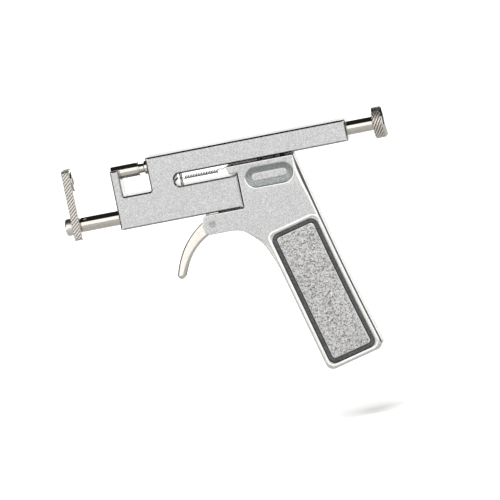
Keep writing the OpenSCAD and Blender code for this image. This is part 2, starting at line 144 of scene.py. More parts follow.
def rounded(corners: Sequence[Spot], step: float = 9.0,
            lead: float = 0.0) -> Loop:
    """Rounds each corner of a polygon with a true arc.

    Args:
        corners: (x, z, radius) of each corner, counter-clockwise.
        step: Degrees of arc between points.
        lead: If not 0, the distance of one more point on each side before and after an arc.

    Returns:
        The outline's points.
    """
    loop: Loop = []
    count = len(corners)
    for i, (x, z, radius) in enumerate(corners):
        here = Vector((x, z))
        before = (Vector(corners[i - 1][:2]) - here).normalized()
        after = (Vector(corners[(i + 1) % count][:2]) - here).normalized()
        opening = before.angle(after, math.pi)
        if radius <= 0 or opening > math.radians(178):
            loop.append((x, z))
            continue
        reach = radius / math.tan(opening / 2)
        centre = here + (before + after).normalized() * (radius / math.sin(opening / 2))
        start = here + before * reach - centre
        turn = start.angle_signed(here + after * reach - centre)
        pieces = max(1, round(math.degrees(abs(turn)) / step))
        if lead:
            loop.append(tuple(here + before * (reach + lead)))
        for k in range(pieces + 1):
            angle = -turn * k / pieces
            spun = Matrix.Rotation(angle, 2) @ start
            loop.append((centre.x + spun.x, centre.y + spun.y))
        if lead:
            loop.append(tuple(here + after * (reach + lead)))
    return loop


def circle(x: float, z: float, radius: float, count: int = 48) -> Loop:
    """A round outline, counter-clockwise.

    Args:
        x: Centre along the first axis.
        z: Centre along the second axis.
        radius: Radius.
        count: Number of points.

    Returns:
        The outline's points.
    """
    turns = [2 * math.pi * k / count for k in range(count)]
    return [(x + radius * math.cos(a), z + radius * math.sin(a)) for a in turns]


def area_of(loop: Loop) -> float:
    """Signed area of an outline, positive when it runs counter-clockwise."""
    return 0.5 * sum(a[0] * b[1] - b[0] * a[1] for a, b in zip(loop, loop[1:] + loop[:1]))


def shrunk(loop: Loop, by: float | Sequence[float]) -> Loop:
    """Moves an outline inwards, along the mitre at each point.

    Args:
        loop: A counter-clockwise outline.
        by: The distance, or one for each point. A negative one grows the outline.

    Returns:
        The moved outline, with as many points.
    """
    count = len(loop)
    steps = [by] * count if isinstance(by, (int, float)) else list(by)
    moved: Loop = []
    for i in range(count):
        here = Vector(loop[i])
        into = (here - Vector(loop[i - 1])).normalized()
        away = (Vector(loop[(i + 1) % count]) - here).normalized()
        side_a, side_b = Vector((-into.y, into.x)), Vector((-away.y, away.x))
        mitre = side_a + side_b
        mitre = side_a if mitre.length < 1e-6 else mitre.normalized()
        stretch = max(0.35, mitre.dot(side_a))
        spot = here + mitre * (steps[i] / stretch)
        moved.append((spot.x, spot.y))
    return moved


# ------------------------------------------------------------------ meshes


@dataclass
class MeshDraft:
    """Vertices and faces on their way to becoming an object."""

    vertices: list[Spot]
    faces: list[tuple[int, ...]]
    kinds: list[int]

    @classmethod
    def empty(cls) -> "MeshDraft":
        """A draft with nothing in it."""
        return cls([], [], [])

    def ring(self, points: Sequence[Spot]) -> list[int]:
        """Adds vertices.

        Args:
            points: Where they are.

        Returns:
            Their numbers.
        """
        first = len(self.vertices)
        self.vertices.extend(points)
        return list(range(first, first + len(points)))

    def bridge(self, a: Sequence[int], b: Sequence[int], kind: int | Sequence[int] = 0) -> None:
        """Joins two closed rings of as many vertices with four-sided faces.

        Args:
            a: The first ring.
            b: The second ring.
            kind: The faces' kind, or one for each face.
        """
        count = len(a)
        for i in range(count):
            j = (i + 1) % count
            self.faces.append((a[i], a[j], b[j], b[i]))
            self.kinds.append(kind if isinstance(kind, int) else kind[i])

    def cap(self, rings: Sequence[Sequence[int]], kind: int = 0) -> None:
        """Closes the plane between an outer ring and the rings inside it.

        Args:
            rings: The outer ring, then those inside it.
            kind: The faces' kind.
        """
        flat = [v for ring in rings for v in ring]
        loops = [[Vector(self.vertices[v]) for v in ring] for ring in rings]
        for triangle in tessellate_polygon(loops):
            self.faces.append(tuple(flat[i] for i in triangle))
            self.kinds.append(kind)

    def build(self, name: str, sharp: float = SHARP) -> bpy.types.Object:
        """Makes the object, in metres, with outward normals.

        Args:
            name: The object's name.
            sharp: Edges that turn more than this many degrees stay crisp.

        Returns:
            The new object.
        """
        mesh = bpy.data.meshes.new(name)
        mesh.from_pydata([tuple(c * MM for c in v) for v in self.vertices], [], self.faces)
        for _ in range(max(self.kinds) + 1):
            mesh.materials.append(None)
        mesh.polygons.foreach_set("material_index", self.kinds)
        made = bpy.data.objects.new(name, mesh)
        bpy.context.scene.collection.objects.link(made)
        tidy_mesh(made, sharp)
        return made


def tidy_mesh(piece: bpy.types.Object, sharp: float = SHARP) -> None:
    """Welds, orients and shades a mesh.

    Args:
        piece: The object.
        sharp: Edges that turn more than this many degrees stay crisp.
    """
    bm = bmesh.new()
    bm.from_mesh(piece.data)
    bmesh.ops.remove_doubles(bm, verts=bm.verts, dist=SAME_SPOT * MM)
    bmesh.ops.dissolve_degenerate(bm, edges=bm.edges, dist=SAME_SPOT * MM)
    bmesh.ops.recalc_face_normals(bm, faces=bm.faces)
    limit = math.radians(sharp)
    for face in bm.faces:
        face.smooth = True
    for edge in bm.edges:
        edge.smooth = len(edge.link_faces) == 2 and edge.calc_face_angle(0) < limit
    bm.to_mesh(piece.data)
    bm.free()


def bake(piece: bpy.types.Object) -> None:
    """Applies an object's modifiers to its mesh.

    Args:
        piece: The object.
    """
    depsgraph = bpy.context.evaluated_depsgraph_get()
    mesh = bpy.data.meshes.new_from_object(piece.evaluated_get(depsgraph))
    old = piece.data
    piece.modifiers.clear()
    piece.data = mesh
    bpy.data.meshes.remove(old)


def carve(piece: bpy.types.Object, tools: Sequence[bpy.types.Object], join: bool = False,
          sharp: float = SHARP) -> bpy.types.Object:
    """Cuts tools out of a piece, or joins them to it, and removes the tools.

    Args:
        piece: The object to work on.
        tools: Closed meshes.
        join: True to add the tools rather than cut them out.
        sharp: Edges that turn more than this many degrees stay crisp.

    Returns:
        The piece.
    """
    for tool in tools:
        step = piece.modifiers.new("carve", "BOOLEAN")
        step.operation = "UNION" if join else "DIFFERENCE"
        step.solver = "EXACT"
        step.object = tool
    bake(piece)
    for tool in tools:
        mesh = tool.data
        bpy.data.objects.remove(tool)
        bpy.data.meshes.remove(mesh)
    tidy_mesh(piece, sharp)
    return piece


def paint(piece: bpy.types.Object, kind: int, chosen: Callable[[Vector, Vector], bool]) -> None:
    """Gives some of a piece's faces another kind.

    Args:
        piece: The piece.
        kind: The kind they get.
        chosen: Says, from its middle in millimetres and its normal, whether a face is one of them.
    """
    while len(piece.data.materials) <= kind:
        piece.data.materials.append(None)
    for face in piece.data.polygons:
        if chosen(face.center / MM, face.normal):
            face.material_index = kind


def even_normals(piece: bpy.types.Object) -> bpy.types.Object:
    """Lets large flat faces rule the shading beside small rounded edges.

    Args:
        piece: The object.

    Returns:
        The same object.
    """
    step = piece.modifiers.new("even_normals", "WEIGHTED_NORMAL")
    step.keep_sharp = True
    step.weight = 60
    return piece


def mirrored(piece: bpy.types.Object) -> None:
    """Turns a piece of the near side into its twin on the far side."""
    piece.data.transform(Matrix.Scale(-1, 4, (0, 1, 0)))
    piece.data.flip_normals()


def lathe(name: str, profile: Sequence[Point], z: float = 0.0, count: int = 96) -> bpy.types.Object:
    """Turns a closed profile about a line along X.

    Args:
        name: The object's name.
        profile: (x, radius) points of the closed section, in order.
        z: Height of the line.
        count: Steps round the line.

    Returns:
        The new object.
    """
    draft = MeshDraft.empty()
    turns = [2 * math.pi * k / count for k in range(count)]
    rings = [
        draft.ring([(x, r * math.sin(a), z + r * math.cos(a)) for a in turns]) for x, r in profile
    ]
    for a, b in zip(rings, rings[1:] + rings[:1]):
        draft.bridge(a, b)
    return draft.build(name)


def drill(x0: float, x1: float, radius: float, z: float = 0.0) -> bpy.types.Object:
    """A plain round tool along X, for cutting a bore."""
    return lathe("tool", [(x0, 0.0), (x0, radius), (x1, radius), (x1, 0.0)], z, 64)


def prism(near: Sequence[Spot], far: Sequence[Spot]) -> bpy.types.Object:
    """A plain tool that fills the space between two rings of points.

    Args:
        near: The first ring.
        far: The second ring, with as many points.

    Returns:
        The tool.
    """
    draft = MeshDraft.empty()
    rings = [draft.ring(near), draft.ring(far)]
    draft.bridge(*rings)
    for ring in rings:
        draft.cap([ring])
    return draft.build("tool")


def punch(outline: Loop, y0: float, y1: float) -> bpy.types.Object:
    """A tool for cutting a side-view outline through a piece."""
    return prism([(x, y0, z) for x, z in outline], [(x, y1, z) for x, z in outline])


def block(low: Sequence[float], high: Sequence[float]) -> bpy.types.Object:
    """A plain box tool for cutting, from its two corners."""
    outline = [(low[0], low[2]), (high[0], low[2]), (high[0], high[2]), (low[0], high[2])]
    return punch(outline, low[1], high[1])


def shaft(x: float, low: float, high: float, radius: float) -> bpy.types.Object:
    """A round tool that stands upright in the middle plane, for cutting from above or below."""
    spots = circle(x, 0.0, radius, 40)
    return prism([(a, b, low) for a, b in spots], [(a, b, high) for a, b in spots])


ROUND_EDGE = [(1 - math.sin(a), 1 - math.cos(a)) for a in (math.pi / 2 * k / 6 for k in range(7))]
LAND_AND_BEVEL = [(1.0, 0.0), (0.97, 0.012), (0.50, 0.03), (0.46, 0.07), (0.42, 0.14), (0.07, 0.86),
                  (0.02, 0.94), (0.0, 1.0)]
CRISP_BEVEL = [(1.0, 0.0), (0.97, 0.02), (0.80, 0.04), (0.75, 0.09), (0.68, 0.18), (0.10, 0.86),
               (0.03, 0.94), (0.0, 1.0)]


def slab(name: str, outline: Loop, y0: float, y1: float, edge: float | EdgeRule,
         section: Sequence[Point] = ROUND_EDGE, edge_kind: int = 0) -> bpy.types.Object:
    """A side-view outline made solid across the hand, with its edges rounded.

    Args:
        name: The object's name.
        outline: (x, z) points, counter-clockwise.
        y0: Near side.
        y1: Far side.
        edge: Edge radius, or a function that gives each point's width and depth of rounding.
        section: (inset, depth) of each step round an edge, as shares of its width and depth.
        edge_kind: Kind of the rounded edges' faces.

    Returns:
        The new object.
    """
    return slab_with_pockets(name, outline, y0, y1, edge, [], section, edge_kind)


@dataclass
class Pocket:
    """A sunk or raised form on the near face of a slab.

    Attributes:
        outline: Its edge, counter-clockwise.
        profile: (distance inwards from the edge, depth) pairs, from the edge to the middle.
        kinds: Kind of each strip between two pairs, and last of the middle.
    """

    outline: Loop
    profile: Sequence[Point]
    kinds: Sequence[int]


def slab_with_pockets(name: str, outline: Loop, y0: float, y1: float, edge: float | EdgeRule,
                      pockets: Sequence[Pocket], section: Sequence[Point] = ROUND_EDGE,
                      edge_kind: int = 0, seam: float = 1.0) -> bpy.types.Object:
    """A slab with pockets in its near face.

    Args:
        name: The object's name.
        outline: (x, z) points of its side view.
        y0: Near side.
        y1: Far side.
        edge: Edge radius, or a function that gives each point's width and depth of rounding.
        pockets: What is sunk into the near face.
        section: (inset, depth) of each step round an edge, as shares of its width and depth.
        edge_kind: Kind of the rounded edges' faces.
        seam: How much of the near side's rounding the far side has.

    Returns:
        The new object.
    """
    if area_of(outline) < 0:
        outline = outline[::-1]
    sizes = [edge(p) if callable(edge) else (edge, edge) for p in outline]
    draft = MeshDraft.empty()
    rings: list[list[int]] = []
    for side, face, share in ((1, y0, 1.0), (-1, y1, seam)):
        for inset, sink in section if side > 0 else section[::-1]:
            moved = shrunk(outline, [wide * inset * share for wide, _ in sizes])
            rings.append(draft.ring([
                (p[0], face + side * deep * sink * share, p[1]) for p, (_, deep) in zip(moved, sizes)
            ]))
    for k, (a, b) in enumerate(zip(rings, rings[1:])):
        draft.bridge(a, b, 0 if k == len(section) - 1 else edge_kind)
    mouths: list[list[int]] = []
    for pocket in pockets:
        levels = [
            draft.ring([(x, y0 + depth, z) for x, z in shrunk(pocket.outline, inset)])
            for inset, depth in pocket.profile
        ]
        for a, b, kind in zip(levels, levels[1:], pocket.kinds):
            draft.bridge(a, b, kind)
        draft.cap([levels[-1]], pocket.kinds[-1])
        mouths.append(levels[0][::-1])
    draft.cap([rings[0], *mouths])
    draft.cap([rings[-1]])
    return draft.build(name)


@dataclass(frozen=True)
class Knurl:
    """A diamond knurl: two crossing families of V grooves.

    Attributes:
        teeth: Diamonds round the piece.
        rows: Diamonds along it.
        depth: Depth of the grooves.
        groove: Half the width of a groove, as a share of the pitch.
        fine: Steps across one diamond.
        shade_band: Half the width of the painted shade along the bottom of one family's grooves, as a share
            of the pitch.
    """

    teeth: int
    rows: int
    depth: float
    groove: float = 0.22
    fine: int = 10
    shade_band: float = 0.11

    def sink(self, u: float, v: float) -> float:
        """Depth below the rim at a place counted in diamonds round and along."""
        near = min(abs((u + v + 0.5) % 1 - 0.5), abs((u - v + 0.5) % 1 - 0.5))
        return self.depth * max(0.0, 1 - near / self.groove)

    def is_dirty(self, u: float, v: float) -> bool:
        """Whether a place counted in diamonds lies in the painted shade at the bottom of a groove."""
        return abs((u + v + 0.5) % 1 - 0.5) < self.shade_band


def knurled_piece(name: str, rim: Loop, before: Sequence[Point], band: Point, after: Sequence[Point],
                  knurl: Knurl) -> bpy.types.Object:
    """A piece along X with a knurled band round its rim.

    Args:
        name: The object's name.
        rim: (y, z) points, as many as the knurl's teeth times its fineness, counter-clockwise.
        before: (x, inset) of each plain ring in front of the band.
        band: Where the band starts and ends along X.
        after: (x, inset) of each plain ring behind the band.
        knurl: The pattern.

    Returns:
        The new object. Its crests have the first material, plain faces the second, and the painted shade
        along the bottoms of one family of grooves the third.
    """
    draft = MeshDraft.empty()
    count = knurl.rows * knurl.fine
    around = range(len(rim))
    plain = [1] * len(rim)
    rings = [(x, [inset] * len(rim), plain) for x, inset in before]
    for k in range(count + 1):
        x = band[0] + (band[1] - band[0]) * k / count
        sunk = [knurl.sink(i / knurl.fine, k / knurl.fine) for i in around]
        # Kind 2 is painted shade along the bottoms of one family of grooves.
        kinds = [2 * knurl.is_dirty((i + 0.5) / knurl.fine, (k + 0.5) / knurl.fine) for i in around]
        rings.append((x, sunk, kinds if k < count else plain))
    rings.extend((x, [inset] * len(rim), plain) for x, inset in after)
    made = [(draft.ring([(x, y, z) for y, z in shrunk(rim, insets)]), kinds) for x, insets, kinds in rings]
    for (a, kinds), (b, _) in zip(made, made[1:]):
        draft.bridge(a, b, kinds)
    for ring in (made[0][0], made[-1][0]):
        draft.cap([ring], 1)
    return draft.build(name, FINE_SHARP)


def evenly(loop: Loop, count: int) -> Loop:
    """Spreads points evenly round an outline.

    Args:
        loop: The outline.
        count: How many points.

    Returns:
        The new points.
    """
    spans = [(Vector(a), Vector(b)) for a, b in zip(loop, loop[1:] + loop[:1])]
    total = sum((b - a).length for a, b in spans)
    spots: Loop = []
    walked, index = 0.0, 0
    for k in range(count):
        target = total * k / count
        while walked + (spans[index][1] - spans[index][0]).length < target:
            walked += (spans[index][1] - spans[index][0]).length
            index += 1
        a, b = spans[index]
        spot = a.lerp(b, (target - walked) / (b - a).length)
        spots.append((spot.x, spot.y))
    return spots


def wire(name: str, path: Sequence[Vector], radius: float, sides: int = 10) -> bpy.types.Object:
    """A round wire along a path, closed at both ends.

    Args:
        name: The object's name.
        path: Points along its middle.
        radius: Radius of the wire.
        sides: Faces round the wire.

    Returns:
        The new object.
    """
    draft = MeshDraft.empty()
    rings: list[list[int]] = []
    across = Vector((0.0, 1.0, 0.0))
    for i, spot in enumerate(path):
        along = (path[min(i + 1, len(path) - 1)] - path[max(i - 1, 0)]).normalized()
        across = (across - along * across.dot(along)).normalized()
        other = along.cross(across)
        turns = [2 * math.pi * k / sides for k in range(sides)]
        rings.append(draft.ring([
            tuple(spot + across * (radius * math.cos(a)) + other * (radius * math.sin(a))) for a in turns
        ]))
    for a, b in zip(rings, rings[1:]):
        draft.bridge(a, b)
    for ring in (rings[0], rings[-1]):
        draft.faces.append(tuple(ring))
        draft.kinds.append(0)
    return draft.build(name, 50.0)


def coil(start: Vector, end: Vector, radius: float, turns: float, per_turn: int = 20,
         phase: float = 0.0) -> list[Vector]:
    """Points of a helix between two places on its axis.

    Args:
        start: Where the axis starts.
        end: Where the axis ends.
        radius: Radius to the middle of the wire.
        turns: Number of turns.
        per_turn: Points in a turn.
        phase: Where on the circle it starts, in turns.

    Returns:
        The points.
    """
    axis = (end - start).normalized()
    side = axis.cross(Vector((0, 0, 1))) if abs(axis.z) < 0.9 else Vector((0, 1, 0))
    side.normalize()
    other = axis.cross(side)
    count = round(turns * per_turn)
    points = []
    for k in range(count + 1):
        angle = 2 * math.pi * (phase + turns * k / count)
        centre = start.lerp(end, k / count)
        points.append(centre + side * (radius * math.cos(angle)) + other * (radius * math.sin(angle)))
    return points


def place(piece: bpy.types.Object, body: Body, slot: Slot, *nodes: str) -> None:
    """Fixes a finished piece to its body and hides the CAD nodes that it replaces.

    Args:
        piece: The object.
        body: The body that it moves with.
        slot: The record's material slot; not used.
        nodes: The CAD nodes that it replaces.
    """
    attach(piece, body.value)
    if nodes:
        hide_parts(*nodes)
    LOG.info("%s rides on %s, %d faces", piece.name, body.value, len(piece.data.polygons))


# ------------------------------------------------------------------ shader groups


class NodeSheet:
    """Short ways to place and join nodes in one tree."""

    def __init__(self, tree: bpy.types.NodeTree) -> None:
        """Keeps the tree to work on."""
        self.tree = tree

    def add(self, kind: str, inputs: dict[str | int, object] | None = None,
            **values: object) -> bpy.types.Node:
        """Adds a node.

        Args:
            kind: The node's type.
            inputs: A socket to link or a value for each input, by name or number.
            values: The node's properties by keyword.

        Returns:
            The node.
        """
        node = self.tree.nodes.new(kind)
        for key, value in values.items():
            setattr(node, key, value)
        for key, value in (inputs or {}).items():
            if isinstance(value, bpy.types.NodeSocket):
                self.join(value, node.inputs[key])
            else:
                node.inputs[key].default_value = value
        return node

    def join(self, source: bpy.types.NodeSocket, target: bpy.types.NodeSocket) -> None:
        """Links two sockets."""
        self.tree.links.new(source, target)

    def math(self, operation: str, a: object, b: object = 0.0) -> bpy.types.NodeSocket:
        """Adds a math node.

        Args:
            operation: What it does.
            a: Its first input, a socket or a number.
            b: Its second input, a socket or a number.

        Returns:
            The node's output.
        """
        return self.add("ShaderNodeMath", {0: a, 1: b}, operation=operation).outputs[0]

    def spread(self, value: bpy.types.NodeSocket, low: float, high: float, to_low: float,
               to_high: float, smooth: bool = True) -> bpy.types.NodeSocket:
        """Maps a range of values to another, held at its ends.

        Args:
            value: What is mapped.
            low: Where the range starts.
            high: Where it ends.
            to_low: What the start becomes.
            to_high: What the end becomes.
            smooth: True to ease in and out.

        Returns:
            The mapped value.
        """
        ends = {"From Min": low, "From Max": high, "To Min": to_low, "To Max": to_high}
        easing = "SMOOTHSTEP" if smooth else "LINEAR"
        node = self.add("ShaderNodeMapRange", {"Value": value, **ends}, interpolation_type=easing)
        return node.outputs["Result"]


def group_sheet(name: str, inputs: Sequence[tuple[str, str, float]],
                outputs: Sequence[tuple[str, str]]) -> tuple[bpy.types.NodeTree, NodeSheet, dict, dict]:
    """Starts a shader group.

    Args:
        name: The group's name.
        inputs: (name, socket type, default) of each input.
        outputs: (name, socket type) of each output.

    Returns:
        The group, its sheet, and its inner inputs and outputs by name.
    """
    group = bpy.data.node_groups.new(name, "ShaderNodeTree")
    for label, kind, default in inputs:
        socket = group.interface.new_socket(label, in_out="INPUT", socket_type=kind)
        if kind == "NodeSocketFloat":
            socket.default_value = default
    for label, kind in outputs:
        group.interface.new_socket(label, in_out="OUTPUT", socket_type=kind)
    sheet = NodeSheet(group)
    enter, leave = sheet.add("NodeGroupInput"), sheet.add("NodeGroupOutput")
    return group, sheet, {s.name: s for s in enter.outputs}, {s.name: s for s in leave.inputs}


def make_grain_group() -> bpy.types.NodeTree:
    """The fine pearl grain of a blasted or cast surface.

    Returns:
        The group: Tone is a speckle from 0 to 1, and Height is for bump.
    """
    group, sheet, given, out = group_sheet(
        "surface_grain",
        [("Vector", "NodeSocketVector", 0.0), ("Grain per mm", "NodeSocketFloat", 2.5)],
        [("Tone", "NodeSocketFloat"), ("Height", "NodeSocketFloat")],
    )
    spot, grains = given["Vector"], given["Grain per mm"]
    cells = sheet.add("ShaderNodeTexVoronoi", {"Vector": spot, "Scale": grains})
    facet = sheet.add("ShaderNodeSeparateColor", {0: cells.outputs["Color"]})
    clouds = sheet.add("ShaderNodeTexNoise", {
        "Vector": spot, "Scale": sheet.math("MULTIPLY", grains, 0.7), "Detail": 3.0, "Roughness": 0.65})
    speck = sheet.math("MULTIPLY", facet.outputs[0], 0.7)
    cloud = sheet.math("MULTIPLY", sheet.spread(clouds.outputs["Fac"], 0.3, 0.7, 0.0, 1.0), 0.3)
    sheet.join(sheet.math("ADD", speck, cloud), out["Tone"])
    sheet.join(sheet.math("ADD", clouds.outputs["Fac"], sheet.math("MULTIPLY", facet.outputs[1], 0.35)),
               out["Height"])
    return group


def make_marks_group() -> bpy.types.NodeTree:
    """Faint handling marks: soft smudges and hair-fine rubs.

    Returns:
        The group: Marks is 0 on a clean place and rises to 1.
    """
    group, sheet, given, out = group_sheet(
        "handling_marks",
        [("Vector", "NodeSocketVector", 0.0), ("Smudge per mm", "NodeSocketFloat", 0.16)],
        [("Marks", "NodeSocketFloat")],
    )
    spot = given["Vector"]
    smudge = sheet.add("ShaderNodeTexNoise", {
        "Vector": spot, "Scale": given["Smudge per mm"], "Detail": 4.0})
    drawn = sheet.add("ShaderNodeMapping", {
        "Vector": spot, "Scale": (0.35, 6.0, 6.0), "Rotation": (0.0, math.radians(12), 0.0)})
    rubs = sheet.add("ShaderNodeTexNoise", {"Vector": drawn.outputs[0], "Scale": 1.0, "Detail": 2.0})
    soft = sheet.spread(smudge.outputs["Fac"], 0.42, 0.72, 0.0, 0.7)
    fine = sheet.spread(rubs.outputs["Fac"], 0.56, 0.74, 0.0, 0.5)
    sheet.join(sheet.math("MAXIMUM", soft, fine), out["Marks"])
    return group


def make_edge_group() -> bpy.types.NodeTree:
    """Where a surface turns a corner and is rubbed bright.

    Returns:
        The group: Edge is 0 on the flat and 1 on a corner.
    """
    group, sheet, given, out = group_sheet(
        "edge_wear",
        [("Width mm", "NodeSocketFloat", 0.3), ("Breakup", "NodeSocketFloat", 0.5)],
        [("Edge", "NodeSocketFloat")],
    )
    width = sheet.math("MULTIPLY", given["Width mm"], MM)
    bevel = sheet.add("ShaderNodeBevel", {"Radius": width}, samples=4)
    shape = sheet.add("ShaderNodeNewGeometry")
    facing = sheet.add("ShaderNodeVectorMath", {0: bevel.outputs[0], 1: shape.outputs["True Normal"]},
                       operation="DOT_PRODUCT")
    turned = sheet.spread(facing.outputs["Value"], 0.995, 0.86, 0.0, 1.0)
    kept = sheet.math("SUBTRACT", 1.0, given["Breakup"])
    sheet.join(sheet.math("MULTIPLY", turned, kept), out["Edge"])
    return group


@dataclass(frozen=True)
class Finish:
    """A metal finish.

    Attributes:
        name: The material's name.
        dark: Colour in the grain's hollows.
        light: Colour on its crests.
        smooth: Roughness where it is cleanest.
        rough: Roughness where it is most marked.
        grain: Grains in a millimetre.
        relief: Height of the grain in millimetres.
        edge_polish: How much brighter and smoother the edges are, 0 to 1.
    """

    name: str
    dark: tuple[float, float, float]
    light: tuple[float, float, float]
    smooth: float
    rough: float
    grain: float
    relief: float
    edge_polish: float

    def build(self, groups: "ShaderGroups") -> bpy.types.Material:
        """Makes the material.

        Args:
            groups: The shared shader groups.

        Returns:
            The material.
        """
        material = bpy.data.materials.new(self.name)
        material.use_nodes = True
        sheet = NodeSheet(material.node_tree)
        shader = material.node_tree.nodes["Principled BSDF"]
        shader.inputs["Metallic"].default_value = 1.0
        held = sheet.add("ShaderNodeTexCoord").outputs["Object"]
        in_mm = sheet.add("ShaderNodeVectorMath", {0: held, "Scale": 1 / MM}, operation="SCALE")
        spot = {"Vector": in_mm.outputs[0]}
        grain = sheet.add("ShaderNodeGroup", {**spot, "Grain per mm": self.grain}, node_tree=groups.grain)
        marks = sheet.add("ShaderNodeGroup", spot, node_tree=groups.marks)
        edge = sheet.add("ShaderNodeGroup", {"Breakup": 1 - self.edge_polish}, node_tree=groups.edge)
        tone = sheet.math("MAXIMUM", grain.outputs["Tone"], edge.outputs["Edge"])
        colour = sheet.add("ShaderNodeMix", {0: tone, 6: (*self.dark, 1.0), 7: (*self.light, 1.0)},
                           data_type="RGBA")
        sheet.join(colour.outputs[2], shader.inputs["Base Color"])
        wear_and_shade = sheet.spread(marks.outputs["Marks"], 0.0, 1.0, self.smooth, self.rough, smooth=False)
        eased = sheet.math("SUBTRACT", 1.0, sheet.math("MULTIPLY", edge.outputs["Edge"], 0.45))
        sheet.join(sheet.math("MULTIPLY", wear_and_shade, eased), shader.inputs["Roughness"])
        bump = sheet.add("ShaderNodeBump", {
            "Distance": self.relief * MM, "Strength": 0.8, "Height": grain.outputs["Height"]})
        sheet.join(bump.outputs["Normal"], shader.inputs["Normal"])
        return material


class ShaderGroups:
    """The shared shader groups, built once."""

    def __init__(self) -> None:
        """Builds the groups."""
        self.grain = make_grain_group()
        self.marks = make_marks_group()
        self.edge = make_edge_group()


BLASTED = Finish("blasted_casting", (0.46, 0.47, 0.505), (0.985, 0.99, 1.0), 0.34, 0.42, 3.6, 0.014, 0.35)
RIM = Finish("polished_rim", (0.84, 0.84, 0.84), (0.94, 0.94, 0.94), 0.14, 0.24, 1.2, 0.001, 0.6)
# Painted shade: a darker colour on the body casting's and cover's rounded edges, standing in for the dark
# lines along them.
EDGE_SHADE = Finish("edge_painted_shade", (0.40, 0.40, 0.41), (0.62, 0.62, 0.63), 0.05, 0.10, 2.0, 0.001, 0.3)
# Painted shade: a dark colour in the grip's trench, on the block's top under the body, and under the barrel.
RECESS_SHADE = Finish("cast_recess_painted_shade", (0.07, 0.072, 0.078), (0.20, 0.205, 0.215), 0.42, 0.55, 2.4, 0.02, 0.1)
# Painted shade: a darker colour on the walls of the sunk pill.
PILL_WALL_SHADE = Finish("pill_wall_painted_shade", (0.26, 0.29, 0.30), (0.56, 0.60, 0.61), 0.42, 0.52, 3.0, 0.014, 0.1)
ROUGH_CAST = Finish("rough_cast_panel", (0.07, 0.07, 0.075), (1.0, 1.0, 1.0), 0.38, 0.5, 2.2, 0.06, 0.1)
NICKEL = Finish("bright_nickel", (0.78, 0.755, 0.71), (0.86, 0.84, 0.80), 0.05, 0.17, 0.8, 0.0006, 0.6)
KNURL = Finish("satin_nickel", (0.90, 0.87, 0.83), (1.0, 0.98, 0.95), 0.34, 0.40, 1.4, 0.001, 0.5)
# Painted shade: a dark colour along the bottoms of one family of knurl grooves.
GROOVE_SHADE = Finish("knurl_groove_painted_shade", (0.18, 0.15, 0.12), (0.34, 0.30, 0.25), 0.35, 0.5, 2.0, 0.002, 0.1)
STEEL = Finish("turned_steel", (0.40, 0.40, 0.41), (0.58, 0.58, 0.59), 0.20, 0.36, 1.5, 0.003, 0.5)
BLACKENED = Finish("blackened_steel", (0.03, 0.03, 0.032), (0.07, 0.07, 0.072), 0.35, 0.5, 1.5, 0.003, 0.2)
SPRING = Finish("spring_wire", (0.22, 0.21, 0.20), (0.40, 0.385, 0.36), 0.12, 0.22, 1.5, 0.002, 0.3)


class Palette:
    """Every finish as a material, built once."""

    def __init__(self) -> None:
        """Builds the materials."""
        groups = ShaderGroups()
        self.cast = BLASTED.build(groups)
        self.rim = RIM.build(groups)
        self.wear_and_shade = EDGE_SHADE.build(groups)
        self.trench = RECESS_SHADE.build(groups)
        self.pill_wall_shade = PILL_WALL_SHADE.build(groups)
        self.panel = ROUGH_CAST.build(groups)
        self.nickel = NICKEL.build(groups)
        self.knurl = KNURL.build(groups)
        self.groove = GROOVE_SHADE.build(groups)
        self.black = BLACKENED.build(groups)
        self.steel = STEEL.build(groups)
        self.spring = SPRING.build(groups)

    @staticmethod
    def dress(piece: bpy.types.Object, *materials: bpy.types.Material) -> None:
        """Gives a piece its materials.

        Args:
            piece: The piece.
            materials: One for each kind of face. A kind past the last gets the last.
        """
        mesh = piece.data
        kinds = [min(face.material_index, len(materials) - 1) for face in mesh.polygons]
        mesh.materials.clear()
        for material in materials:
            mesh.materials.append(material)
        mesh.polygons.foreach_set("material_index", kinds)
        LOG.info("%s has %d kinds of face", piece.name, len(set(kinds)))


# ------------------------------------------------------------------ the object's parts


